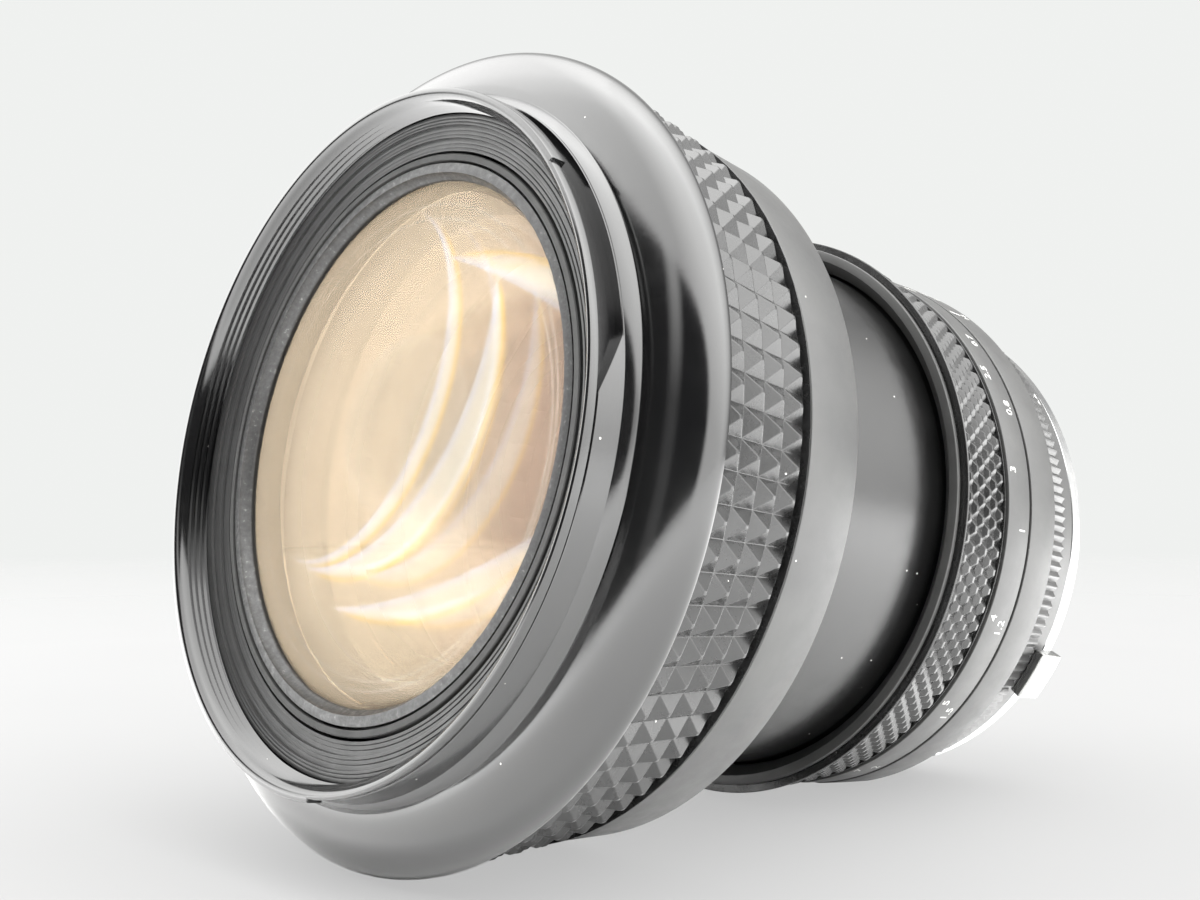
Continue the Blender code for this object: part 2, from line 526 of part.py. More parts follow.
def build_front_cell(mats):
    """Gloss shroud with filter thread and hood bayonet, and the front group behind it."""
    cell_bore = CELL_RADIUS + GAP
    bulge_steps = 5
    bulge = []
    for i in range(bulge_steps + 1):
        angle = math.pi / 2 * i / bulge_steps
        bulge.append((SHROUD_BULGE_Y - (SHROUD_BULGE_Y - SHOULDER_Y) * math.cos(angle),
                      SHOULDER_RADIUS + (SHROUD_RADIUS - SHOULDER_RADIUS) * math.sin(angle)))
    shroud = turned("front_shroud", [
        (RIM_Y + 0.5, FILTER_RADIUS), (RIM_Y, FILTER_RADIUS + 0.5), (RIM_Y, RIM_RADIUS - 0.3),
        (RIM_Y + 0.3, RIM_RADIUS), (RIM_Y + RIM_FLANGE, RIM_RADIUS),
        (RIM_Y + RIM_FLANGE, BAYONET_GROOVE_RADIUS),
        (BAYONET_GROOVE_REAR_Y, BAYONET_GROOVE_RADIUS), (BAYONET_GROOVE_REAR_Y, RIM_RADIUS + 0.1),
        *bulge, (SHROUD_REAR_Y, SHROUD_RADIUS - 0.3), (SHROUD_REAR_Y, SHROUD_RADIUS - SHROUD_WALL),
        (SHROUD_WEB_Y + 2.2, SHROUD_RADIUS - SHROUD_WALL - 1.2),
        (SHROUD_WEB_Y + SHROUD_WALL, SHOULDER_RADIUS), (SHROUD_WEB_Y + SHROUD_WALL, cell_bore),
        (SHROUD_WEB_Y, cell_bore), (SHROUD_WEB_Y, FILTER_RADIUS)], OUTER_STEPS, mats["gloss_black"])
    step_count = 3
    step = (FILTER_RADIUS - cell_bore - GAP) / step_count
    stepped = []
    for i in range(step_count):
        y = RIM_Y + 3.1 + 0.3 * (step_count - 1 - i)
        stepped += [(y, cell_bore + step * i), (y, cell_bore + step * (i + 1))]
    baffle = turned("baffle_ring", stepped + [(SHROUD_WEB_Y - GAP, cell_bore + step * step_count),
                                              (SHROUD_WEB_Y - GAP, cell_bore)],
                    OUTER_STEPS, mats["matt_black"])
    glass_bore = GLASS_RADIUS + GAP
    second_bore = SECOND_GLASS_RADIUS + GAP
    barrel = turned("cell_barrel", [
        (CELL_FRONT_Y, CELL_RADIUS - 0.7), (CELL_FRONT_Y, CELL_RADIUS), (CELL_REAR_Y, CELL_RADIUS),
        (CELL_REAR_Y, second_bore), (SECOND_FRONT_Y - GAP, second_bore),
        (SECOND_FRONT_Y - GAP, second_bore - 0.9), (GLASS_REAR_Y + GAP, second_bore - 0.9),
        (GLASS_REAR_Y + GAP, glass_bore), (GLASS_FRONT_Y - 0.2, glass_bore),
        (GLASS_FRONT_Y - 0.2, CELL_RADIUS - 0.7)], INNER_STEPS, mats["matt_black"])
    keeper = turned("front_retaining_ring", [
        (CELL_FRONT_Y, GLASS_OPENING_RADIUS + 0.4), (CELL_FRONT_Y, CELL_RADIUS - 0.7 - GAP),
        (GLASS_FRONT_Y - 0.5, CELL_RADIUS - 0.7 - GAP),
        (GLASS_FRONT_Y - 0.5, GLASS_OPENING_RADIUS)], OUTER_STEPS, mats["matt_black"])
    front = turned("front_element",
                   lens_outline(GLASS_FRONT_Y, GLASS_REAR_Y, GLASS_RADIUS, 75.0, 160.0, 4),
                   INNER_STEPS, mats["coated_glass"])
    second = turned("second_element",
                    lens_outline(SECOND_FRONT_Y, SECOND_REAR_Y, SECOND_GLASS_RADIUS, 70.0, 90.0, 3),
                    INNER_STEPS, mats["coated_glass"])
    rear_keeper = ring("second_retaining_ring", SECOND_REAR_Y + GAP, SECOND_REAR_Y + GAP + 1.5,
                       SECOND_GLASS_RADIUS - 2.4, SECOND_GLASS_RADIUS, INNER_STEPS,
                       mats["matt_black"])
    pins = [rod(f"cell_guide_pin_{i + 1}", polar(CELL_RADIUS + GAP, angle, CELL_PIN_Y),
                polar(1.0, angle, 0.0), CELL_PIN_RADIUS, 3.0, 10, mats["steel"])
            for i, angle in enumerate(around(CELL_PIN_COUNT, 30.0))]
    return [shroud, baffle, barrel, keeper, front, second, rear_keeper, *pins]


def build_lens_block(mats):
    """Iris housing and the two groups of glass that it carries."""
    wall_outer = IRIS_WALL_RADIUS + IRIS_WALL
    hub_front = IRIS_WEB_Y - 7.5
    housing = turned("iris_housing", [
        (hub_front, THIRD_GLASS_RADIUS + GAP), (hub_front, THIRD_GLASS_RADIUS + 2.0),
        (IRIS_WEB_Y, THIRD_GLASS_RADIUS + 2.0), (IRIS_WEB_Y, BARREL_BORE - GAP),
        (IRIS_WEB_REAR_Y, BARREL_BORE - GAP), (IRIS_WEB_REAR_Y, wall_outer),
        (REAR_CELL_Y + 1.4, wall_outer), (REAR_CELL_Y + 1.4, IRIS_WALL_RADIUS),
        (IRIS_WEB_REAR_Y, IRIS_WALL_RADIUS), (IRIS_WEB_REAR_Y, IRIS_OPENING_RADIUS),
        (IRIS_WEB_Y, IRIS_OPENING_RADIUS), (IRIS_WEB_Y, THIRD_GLASS_RADIUS + GAP)],
        INNER_STEPS, mats["matt_black"])
    for i, angle in enumerate(around(BLADE_COUNT)):
        cut(housing, rod(f"pivot_hole_cutter_{i}",
                         polar(BLADE_PIVOT_RADIUS, angle, IRIS_WEB_Y - 1.0), (0, 1, 0),
                         BLADE_PIN_RADIUS + 0.2, 4.0, 8, mats["matt_black"]))
    third = turned("third_element", lens_outline(IRIS_WEB_Y - 4.1, IRIS_WEB_Y - 0.4,
                                                 THIRD_GLASS_RADIUS, -120.0, 120.0, 3),
                   INNER_STEPS, mats["coated_glass"])
    third_keeper = ring("third_retaining_ring", IRIS_WEB_Y - 5.8, IRIS_WEB_Y - 4.4,
                        THIRD_GLASS_RADIUS - 2.0, THIRD_GLASS_RADIUS, INNER_STEPS,
                        mats["matt_black"])
    rear_cell = turned("rear_cell", [
        (REAR_CELL_Y, IRIS_OPENING_RADIUS), (REAR_CELL_Y, IRIS_WALL_RADIUS - GAP),
        (REAR_CELL_Y + 1.2, IRIS_WALL_RADIUS - GAP), (REAR_CELL_Y + 1.2, REAR_GLASS_RADIUS + 1.8),
        (REAR_CELL_END_Y, REAR_GLASS_RADIUS + 1.8), (REAR_CELL_END_Y, REAR_GLASS_RADIUS + GAP),
        (REAR_CELL_Y + 1.2, REAR_GLASS_RADIUS + GAP), (REAR_CELL_Y + 1.2, IRIS_OPENING_RADIUS)],
        INNER_STEPS, mats["matt_black"])
    cut(rear_cell, sector("arm_notch_cutter", REAR_CELL_Y - 1.0, REAR_CELL_Y + 2.2,
                          FORK_INNER_RADIUS - GAP, IRIS_WALL_RADIUS + 1.0,
                          FORK_DEG + DRIVE_TURN / 2, FORK_ARM_SPAN + DRIVE_TURN + 3.0, 4,
                          mats["matt_black"]))
    fourth_front = REAR_CELL_Y + 1.2 + GAP
    fourth_curve, fifth_curve, spacer_wall = 35.0, 50.0, 1.3
    fourth = turned("fourth_element", lens_outline(fourth_front, fourth_front + 3.7,
                                                   REAR_GLASS_RADIUS, -70.0, -fourth_curve, 3),
                    INNER_STEPS, mats["coated_glass"])
    spacer_bore = REAR_GLASS_RADIUS - spacer_wall
    spacer_front = fourth_front + 3.7 + GAP + rise(fourth_curve, REAR_GLASS_RADIUS, spacer_bore)
    spacer = ring("rear_spacer", spacer_front, spacer_front + 5.6, spacer_bore,
                  REAR_GLASS_RADIUS, INNER_STEPS, mats["matt_black"])
    fifth_front = spacer_front + 5.6 + GAP + rise(80.0, REAR_GLASS_RADIUS, spacer_bore)
    fifth = turned("fifth_element", lens_outline(fifth_front, fifth_front + 3.0,
                                                 REAR_GLASS_RADIUS, 80.0, -fifth_curve, 3),
                   INNER_STEPS, mats["coated_glass"])
    keeper_front = fifth_front + 3.0 + GAP + rise(fifth_curve, REAR_GLASS_RADIUS, spacer_bore)
    rear_keeper = ring("rear_retaining_ring", keeper_front, keeper_front + 1.4, spacer_bore,
                       REAR_GLASS_RADIUS, INNER_STEPS, mats["matt_black"])
    return [housing, third, third_keeper, rear_cell, fourth, spacer, fifth, rear_keeper]


def build_blade(index, angle, mats):
    """One iris blade at its own level, with a pivot pin in front and a drive pin behind."""
    y = BLADE_FRONT_Y + BLADE_PITCH * index
    inner = IRIS_OPENING_RADIUS + GAP
    outer = inner + BLADE_WIDTH
    half = BLADE_PIN_RADIUS + 0.6
    tip = BLADE_DRIVE_RADIUS + 0.9
    arc_steps = 10
    flat = [(inner, math.degrees(-half / inner))]
    flat += [(inner, BLADE_ARC * i / arc_steps) for i in range(1, arc_steps + 1)]
    flat += [(outer, BLADE_ARC * i / arc_steps) for i in range(arc_steps, 0, -1)]
    flat += [(outer, math.degrees(half / outer)), (tip, math.degrees(half / tip)),
             (tip, math.degrees(-half / tip))]
    bm = bmesh.new()
    face = bm.faces.new([bm.verts.new(Vector(polar(r, angle + a, y)) * MM) for r, a in flat])
    thick = bmesh.ops.extrude_face_region(bm, geom=[face])
    moved = [v for v in thick["geom"] if isinstance(v, bmesh.types.BMVert)]
    bmesh.ops.translate(bm, verts=moved, vec=(0, BLADE_THICKNESS * MM, 0))
    blade = new_object(f"iris_blade_{index + 1}", bm, mats["blade_steel"])
    pivot_front = IRIS_WEB_Y + 0.2
    add(blade, rod(f"pivot_pin_shape_{index}", polar(BLADE_PIVOT_RADIUS, angle, pivot_front),
                   (0, 1, 0), BLADE_PIN_RADIUS, y + BLADE_THICKNESS / 2 - pivot_front, 8,
                   mats["blade_steel"]))
    drive_front = y + BLADE_THICKNESS / 2
    add(blade, rod(f"drive_pin_shape_{index}", polar(BLADE_DRIVE_RADIUS, angle, drive_front),
                   (0, 1, 0), BLADE_PIN_RADIUS, DRIVE_RING_Y + 0.8 - drive_front, 8,
                   mats["blade_steel"]))
    return blade


def build_iris_drive(mats):
    """The ring that swings the blades, with the arm that the stop-down lever's fork holds."""
    drive = ring("iris_drive_ring", DRIVE_RING_Y, DRIVE_RING_Y + DRIVE_RING_THICKNESS,
                 IRIS_OPENING_RADIUS + 3.9, IRIS_WALL_RADIUS - 0.4, INNER_STEPS, mats["brass"])
    slot_span = math.degrees(2 * (BLADE_PIN_RADIUS + GAP) / BLADE_DRIVE_RADIUS)
    for i, angle in enumerate(around(BLADE_COUNT)):
        cut(drive, sector(f"drive_slot_cutter_{i}", DRIVE_RING_Y - 1.0, DRIVE_RING_Y + 2.0,
                          BLADE_DRIVE_RADIUS - 1.4, IRIS_WALL_RADIUS + 1.0, angle, slot_span, 1,
                          mats["brass"]))
    add(drive, sector("drive_arm_shape", DRIVE_RING_Y + 0.5, FORK_FRONT_Y + FORK_OVERLAP,
                      FORK_INNER_RADIUS, FORK_OUTER_RADIUS, FORK_DEG, FORK_ARM_SPAN, 1,
                      mats["brass"]))
    return drive


def build_stop_lever(mats):
    """The ring with the lever that the camera pushes, and the fork that reaches to the iris."""
    rear = HOUSING_FLOOR_Y - GAP
    lever = ring("stop_down_lever", rear - LEVER_RING_THICKNESS, rear, LEVER_INNER_RADIUS,
                 GUIDE_TUBE_BORE - 2 * GAP, INNER_STEPS, mats["steel"])
    add(lever, sector("lever_arm_shape", rear - 0.6, BAYONET_LENGTH + 1.0, LEVER_INNER_RADIUS,
                      LEVER_INNER_RADIUS + 1.2, FORK_DEG, LEVER_SPAN, 2, mats["steel"]))
    offset = FORK_ARM_SPAN / 2 + math.degrees(GAP / FORK_INNER_RADIUS) + FORK_PRONG_SPAN / 2
    for i, side in enumerate((-1, 1)):
        add(lever, sector(f"prong_shape_{i}", FORK_FRONT_Y, rear - 0.6, FORK_INNER_RADIUS,
                          FORK_OUTER_RADIUS, FORK_DEG + side * offset, FORK_PRONG_SPAN, 1,
                          mats["steel"]))
    return lever


def build_aperture_ring(mats):
    bore = HOUSING_RADIUS + GAP
    skirt = APERTURE_RING_RADIUS - 0.8
    aperture = turned("aperture_ring", [
        (APERTURE_FRONT_Y, bore), (APERTURE_FRONT_Y, APERTURE_RING_RADIUS + 0.4),
        (APERTURE_RIBS_REAR_Y, APERTURE_RING_RADIUS), (APERTURE_RIBS_REAR_Y, skirt),
        (APERTURE_REAR_Y, skirt - 0.2), (APERTURE_REAR_Y, bore)], OUTER_STEPS, mats["satin_black"])
    prong = sector("coupling_prong", APERTURE_RIBS_REAR_Y + GAP, MOUNT_FRONT_Y + 1.0, skirt + GAP,
                   skirt + 1.9, PRONG_DEG, 11.0, 3, mats["steel"])
    return [aperture, prong]


def build():
    for obj in list(bpy.context.scene.objects):
        bpy.data.objects.remove(obj)
    mats = {
        "gloss_black": material("gloss_black", (0.015, 0.015, 0.016), 0.22),
        "satin_black": material("satin_black", (0.035, 0.035, 0.036), 0.45),
        "matt_black": material("matt_black", (0.02, 0.02, 0.02), 0.7),
        "rubber": material("rubber", (0.06, 0.06, 0.062), 0.75),
        "chrome": material("chrome", (0.78, 0.78, 0.77), 0.2, metallic=1.0),
        "steel": material("steel", (0.55, 0.55, 0.55), 0.3, metallic=1.0),
        "blade_steel": material("blade_steel", (0.12, 0.12, 0.13), 0.4, metallic=0.8),
        "brass": material("brass", (0.62, 0.47, 0.24), 0.35, metallic=1.0),
        "aluminium": material("aluminium", (0.6, 0.6, 0.61), 0.4, metallic=1.0),
        "index_white": material("index_white", (0.85, 0.85, 0.83), 0.4),
        "coated_glass": material("coated_glass", (0.86, 0.7, 0.5), 0.03, alpha=0.35),
    }
    build_housing(mats)
    build_guide_tube(mats)
    build_mount(mats)
    build_detent(mats)
    hinge_at("focus_axis", build_focus_ring(mats))
    block = [build_inner_barrel(mats), *build_lens_block(mats)]
    hinge_at("block_axis", block)
    hinge_at("control_axis", build_control_ring(mats))
    hinge_at("front_cell_axis", build_front_cell(mats))
    for i, angle in enumerate(around(BLADE_COUNT)):
        pivot = polar(BLADE_PIVOT_RADIUS, angle, 0.0)
        hinge_at(f"blade_pivot_{i + 1}", [build_blade(i, angle, mats)], pivot)
    hinge_at("iris_drive_axis", [build_iris_drive(mats)])
    hinge_at("stop_lever_axis", [build_stop_lever(mats)])
    hinge_at("aperture_axis", build_aperture_ring(mats))


build()
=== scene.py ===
"""Looks of the prime camera lens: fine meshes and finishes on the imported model.

The optical axis is the Y axis and the front faces -Y.  Outlines are (y, radius) points
in mm, angles are degrees from +X towards +Z about the axis, and rim(depth) is the y of a
point behind the front rim.
"""
import math
import random

import bmesh
import bpy
from mathutils import Matrix, Vector


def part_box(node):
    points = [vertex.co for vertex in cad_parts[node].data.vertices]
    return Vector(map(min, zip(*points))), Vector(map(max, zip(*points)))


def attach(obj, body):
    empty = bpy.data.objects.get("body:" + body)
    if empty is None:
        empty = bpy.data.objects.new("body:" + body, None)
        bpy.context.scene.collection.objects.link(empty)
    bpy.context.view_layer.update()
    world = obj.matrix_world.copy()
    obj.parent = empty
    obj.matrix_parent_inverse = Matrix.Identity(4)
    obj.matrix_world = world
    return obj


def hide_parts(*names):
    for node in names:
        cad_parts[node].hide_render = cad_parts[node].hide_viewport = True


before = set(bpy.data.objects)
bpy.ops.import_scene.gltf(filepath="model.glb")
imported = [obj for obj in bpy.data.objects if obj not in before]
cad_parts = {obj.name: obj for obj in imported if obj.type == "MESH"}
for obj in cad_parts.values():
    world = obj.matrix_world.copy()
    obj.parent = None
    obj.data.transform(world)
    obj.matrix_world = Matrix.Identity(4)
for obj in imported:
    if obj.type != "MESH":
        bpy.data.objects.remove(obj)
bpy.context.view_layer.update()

MM = 0.001
GAP = 0.3
ROUND_STEPS = 288          # columns round the outer rings
FINE_STEPS = 144           # columns round the small rings
BREAK_SLIVER = 0.02        # half width of a break in an outline, degrees


# ---------------- sizes from the frame
def extent(node):
    """Front y, rear y and outer radius of a turned CAD node, in mm."""
    low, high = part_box(node)
    return low.y / MM, high.y / MM, high.z / MM


RIM_Y, SHROUD_REAR_Y, SHROUD_RADIUS = extent("front_shroud")
BAFFLE_FRONT_Y, BAFFLE_REAR_Y, BAFFLE_RADIUS = extent("baffle_ring")
KEEPER_FRONT_Y, KEEPER_REAR_Y, KEEPER_RADIUS = extent("front_retaining_ring")
GLASS_VERTEX_Y, GLASS_REAR_Y, GLASS_RADIUS = extent("front_element")
CELL_FRONT_Y, CELL_REAR_Y, CELL_RADIUS = extent("cell_barrel")
SECOND_VERTEX_Y, SECOND_REAR_Y, SECOND_RADIUS = extent("second_element")
GRIP_FRONT_Y, GRIP_REAR_Y, GRIP_RADIUS = extent("control_grip")
SLEEVE_FRONT_Y, SLEEVE_REAR_Y, _ = extent("control_sleeve")
BARREL_FRONT_Y, BARREL_REAR_Y, BARREL_FLANGE_RADIUS = extent("inner_barrel")
MOUTH_Y, TONGUE_REAR_Y, MOUTH_RADIUS = extent("focus_sleeve")
FOCUS_GRIP_FRONT_Y, FOCUS_GRIP_REAR_Y, FOCUS_GRIP_RADIUS = extent("focus_grip")
SCALE_FRONT_Y, HOUSING_REAR_Y, SCALE_RADIUS = extent("fixed_housing")
APERTURE_FRONT_Y, APERTURE_REAR_Y, APERTURE_RADIUS = extent("aperture_ring")
MOUNT_FRONT_Y, BAYONET_REAR_Y, MOUNT_RADIUS = extent("mount_plate")
MASK_FRONT_Y, MASK_REAR_Y, MASK_RADIUS = extent("rear_mask")

# sizes that the boxes don't show
GUIDE_TUBE_RADIUS = 27.2
SHROUD_BORE = 29.3         # in front of the cell, as the baffle's
FILTER_BORE = 33.3         # behind the filter thread
FLANGE_DEPTH = 1.6         # of the shroud, as the next are depths behind the rim
GROOVE_REAR = 3.3
SHOULDER_DEPTH = 4.7
FILTER_REAR = 5.0
SHROUD_WEB = 6.6
BULGE_DEPTH = 9.0
RIM_RADIUS = 34.7
LIP_RADIUS = 34.4
GROOVE_RADIUS = 33.9
SHOULDER_RADIUS = 35.7
THREAD_CREST = 33.05
THREAD_ROOT = 33.4
THREAD_TURNS = 4
THREAD_LENGTH = 2.6
THREAD_END = 3.2
ENTRY_TOP = 42.5           # where the hood's tab goes in, degrees
ENTRY_RAMP = 12.0
ENTRY_TIP = 3.0
LIP_END = -86.0
ENTRY_LIP_DEPTH = 0.95
BULGE_STEPS = 22
GLASS_CURVE = 75.0
GLASS_REAR_CURVE = 160.0
SECOND_CURVE = 70.0
SECOND_REAR_CURVE = 90.0
REAR_GLASS_CURVES = (80.0, 50.0)
GRIP_REAR_RADIUS = 39.2
GRIP_BED = (39.1, 37.9)    # under the coarse grip, at its front and rear
CONTROL_SKIRT = (39.0, 38.5, 37.4)     # front, rear and inner radius
FLANGE_OFFSET = 6.3        # bearing flange of the barrel, behind its front
FLANGE_WIDTH = 3.6
SLEEVE_LIP = (1.2, 0.8)    # depth and height of the lip behind that flange
BARREL_RADIUS = 31.0
BARREL_BORE = 29.4
BARREL_THREAD = 28.8
KEY_SLOT_RADIUS = 28.7
CELL_SEAT = 0.9            # height of the seats of the front glasses
THIRDS = (30.0, 150.0, 270.0)
FOCUS_SEAT = 32.1          # under the fine grip
FOCUS_GRIP_REAR_RADIUS = 33.2
FOCUS_SKIRT = 33.4
FOCUS_TONGUE = (32.0, 3.2)     # radius and length
HOUSING_TUBE = (29.4, 30.4)    # inner and outer radius
HOUSING_BORE = 22.8
TONGUE_BORE = 32.3
SCALE_WIDTH = 5.4
HOUSING_FLOOR = 1.4
HOUSING_WEB = 1.3
DEPTH_MARKS = (("4", 9.0), ("8", 17.0), ("11", 26.0), ("16", 36.0))    # stop, degrees
SCALE_MIDDLE = 90.0        # where the index is
RIBS = 165
RIB_DEPTH = 0.45
RIBS_LENGTH = 4.5
APERTURE_LAND = 0.9
APERTURE_SKIRT = 31.5
PRONG_AT, PRONG_SPAN, PRONG_HEIGHT = -32.0, 11.0, 1.9
THROAT_RADIUS = 21.6
BAYONET_RADIUS = 23.4
LUG_RADIUS = 25.2
LUG_HALF = 23.0            # degrees
LUG_FRONT, LUG_REAR = 1.9, 0.4     # before the bayonet's rear
SCREW_HEAD, SCREW_SHANK, SCREW_HEAD_DEPTH = 1.5, 0.75, 1.0
MOUNT_SCREWS = [(27.9, 45.0 + 90.0 * i) for i in range(4)]     # radius, degrees
MASK_BORE = 17.0
MASK_SLOT = (182.4, 8.4, 19.4)     # middle, half width and radius of the lever's slot
KNURL_EDGE_DROP = 0.05


def rim(depth):
    """The y of a point that lies depth mm behind the front rim."""
    return RIM_Y + depth


# ---------------- mesh helpers
def linked(name, data):
    """A new object in the scene."""
    obj = bpy.data.objects.new(name, data)
    bpy.context.scene.collection.objects.link(obj)
    return obj


def evaluated(obj):
    """The mesh of an object with its modifiers, or of a text."""
    graph = bpy.context.evaluated_depsgraph_get()
    return bpy.data.meshes.new_from_object(obj.evaluated_get(graph))


def to_object(name, bm, look, sharp=32):
    bmesh.ops.recalc_face_normals(bm, faces=bm.faces)
    mesh = bpy.data.meshes.new(name)
    bm.to_mesh(mesh)
    bm.free()
    mesh.shade_smooth()
    mesh.set_sharp_from_angle(angle=math.radians(sharp))
    mesh.materials.append(FINISHES[look])
    return linked(name, mesh)


def place(obj, body, slot, *nodes):
    """Put a piece on its body and let it stand for its CAD nodes, which it hides; slot is not
    used.
    """
    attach(obj, body)
    for node in nodes:
        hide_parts(node)
    return obj


def polar(radius, degrees, y):
    turn = math.radians(degrees)
    return Vector((radius * math.cos(turn), y, radius * math.sin(turn))) * MM


def signed(degrees):
    """The same angle, between -180 and 180."""
    return (degrees + 180.0) % 360.0 - 180.0


def near_one(degrees, angles, half):
    return any(abs(signed(degrees - a)) < half for a in angles)


def edges_of(angles, half):
    """The angles at which sectors of a half width begin and end."""
    return [a + side * half for a in angles for side in (-1, 1)]


def sagitta(curve, radius):
    """How deep a ball of radius curve is cut by a circle of the given radius."""
    return curve - math.sqrt(curve ** 2 - radius ** 2)


def softened(corners, steps=3):
    """Round the corners of a closed outline: a corner is (y, r) or (y, r, rounding)."""
    points = []
    for i, corner in enumerate(corners):
        if len(corner) == 2:
            points.append(corner)
            continue
        here = Vector(corner[:2])
        before = (Vector(corners[i - 1][:2]) - here).normalized()
        after = (Vector(corners[(i + 1) % len(corners)][:2]) - here).normalized()
        reach = corner[2] / math.tan(before.angle(after) / 2)
        start, end = here + before * reach, here + after * reach
        for j in range(steps + 1):
            t = j / steps
            bend = start * (1 - t) ** 2 + here * (2 * t * (1 - t)) + end * t ** 2
            points.append(tuple(bend))
    return points


def strip(bm, first, last):
    """Join two rings of as many points with faces."""
    for i, point in enumerate(first):
        j = (i + 1) % len(first)
        bm.faces.new((point, first[j], last[j], last[i]))


def moved(bm, ring, radius, y):
    """Points at the angles of a ring, on another radius and y."""
    turns = [math.degrees(math.atan2(v.co.z, v.co.x)) for v in ring]
    return [bm.verts.new(polar(radius, turn, y)) for turn in turns]


def lathe(name, outline, look, steps=ROUND_STEPS, breaks=(), sharp=32):
    """Spin a closed outline about the axis.  An outline may be a function of the angle, and
    breaks are angles where it changes at once."""
    at = outline if callable(outline) else lambda degrees: outline
    angles = [360.0 * i / steps for i in range(steps)]
    for b in breaks:
        angles = [a for a in angles if abs(a - b % 360) > 2 * BREAK_SLIVER]
        angles += [(b - BREAK_SLIVER) % 360, (b + BREAK_SLIVER) % 360]
    bm = bmesh.new()
    columns = [[bm.verts.new(polar(r, a, y)) for y, r in at(a)] for a in sorted(angles)]
    for near, far in zip(columns, columns[1:] + columns[:1]):
        strip(bm, near, far)
    bmesh.ops.remove_doubles(bm, verts=bm.verts, dist=2e-7)
    bmesh.ops.dissolve_degenerate(bm, edges=bm.edges, dist=1e-7)
    return to_object(name, bm, look, sharp)


def knurled_ring(name, y_front, y_rear, radii, bores, rows, count, depth, top_share,
                 borders, staggered, edge_width):
    """A rubber ring covered in small pyramids with blunt tips, in rows across its width.

    radii are the outer radii at the front and the rear, bores the inner ones, borders the
    plain strips at the two edges.  staggered shifts every other row by half a pyramid, and
    edge_width is the rounding of the pyramids."""
    def skin(y):
        share = (y - y_front) / (y_rear - y_front)
        return radii[0] + (radii[1] - radii[0]) * share
    start, end = y_front + borders[0], y_rear - borders[1]
    pitch = (end - start) / rows
    step = 360.0 / count
    parts = 2 if staggered else 1
    around = count * parts
    bm = bmesh.new()
    lines = []
    for row in range(rows + 1):
        y = start + pitch * row
        lines.append([bm.verts.new(polar(skin(y) - depth, i / parts * step, y))
                      for i in range(around)])
    tips = ((1 - top_share) / 2, (1 + top_share) / 2)
    for row in range(rows):
        shift = row % 2 if staggered else 0
        y = start + pitch * row
        for i in range(count):
            a = (i * parts + shift) % around
            front, rear = ([line[(a + k) % around] for k in range(parts + 1)]
                           for line in (lines[row], lines[row + 1]))
            left = a / parts * step
            (a0, b0), (a1, b1) = (
                [bm.verts.new(polar(skin(y + pitch * v), left + step * u, y + pitch * v))
                 for u in tips] for v in tips)
            bm.faces.new((a0, b0, b1, a1))
            bm.faces.new((*front, b0, a0))
            bm.faces.new((*reversed(rear), a1, b1))
            bm.faces.new((front[-1], rear[-1], b1, b0))
            bm.faces.new((rear[0], front[0], a0, a1))
    bore_rings = [moved(bm, lines[0], bore, y) for bore, y in zip(bores, (y_front, y_rear))]
    sides = ((lines[0], y_front, borders[0]), (lines[-1], y_rear, -borders[1]))
    for (line, y_edge, inward), bore_ring in zip(sides, bore_rings):
        if inward:
            for y, drop in ((y_edge + inward, 0.0), (y_edge, KNURL_EDGE_DROP)):
                ring = moved(bm, line, skin(y_edge) - drop, y)
                strip(bm, line, ring)
                line = ring
        strip(bm, line, bore_ring)
    strip(bm, *bore_rings)
    return bevel(to_object(name, bm, "rubber", 20), edge_width, 2, 25)


def block(bm, y_front, y_rear, inner, outer, middle, span, steps=2):
    """Add a curved block to bm."""
    rings = []
    for i in range(steps + 1):
        turn = middle - span / 2 + span * i / steps
        rings.append([bm.verts.new(polar(r, turn, y)) for y, r in (
            (y_front, inner), (y_front, outer), (y_rear, outer), (y_rear, inner))])
    for near, far in zip(rings, rings[1:]):
        strip(bm, near, far)
    bm.faces.new(rings[0])
    bm.faces.new(reversed(rings[-1]))


def bevel(obj, width, segments=2, angle=30):
    modifier = obj.modifiers.new("edges", "BEVEL")
    modifier.width = width * MM
    modifier.segments = segments
    modifier.limit_method = "ANGLE"
    modifier.angle_limit = math.radians(angle)
    return obj


def cut(obj, bm, look, crossed=False):
    """Take the shapes in bm out of an object; crossed says that they run into each other."""
    cutter = to_object("cutter", bm, look)
    modifier = obj.modifiers.new("cut", "BOOLEAN")
    modifier.operation = "DIFFERENCE"
    modifier.use_self = crossed
    modifier.object = cutter
    mesh = evaluated(obj)
    obj.modifiers.clear()
    obj.data = mesh
    bpy.data.objects.remove(cutter)


def bored(obj, look, radius, y_front, y_rear):
    """Bore the holes of the four mount screws."""
    bm = bmesh.new()
    for ring_radius, turn in MOUNT_SCREWS:
        made = bmesh.ops.create_cone(bm, cap_ends=True, segments=32, radius1=radius * MM,
                                     radius2=radius * MM, depth=(y_rear - y_front) * MM)
        stand = Matrix.Rotation(math.pi / 2, 4, "X")
        middle = Matrix.Translation(polar(ring_radius, turn, (y_front + y_rear) / 2))
        bmesh.ops.transform(bm, matrix=middle @ stand, verts=made["verts"])
    cut(obj, bm, look)
    obj.data.shade_smooth()
    obj.data.set_sharp_from_angle(angle=math.radians(32))


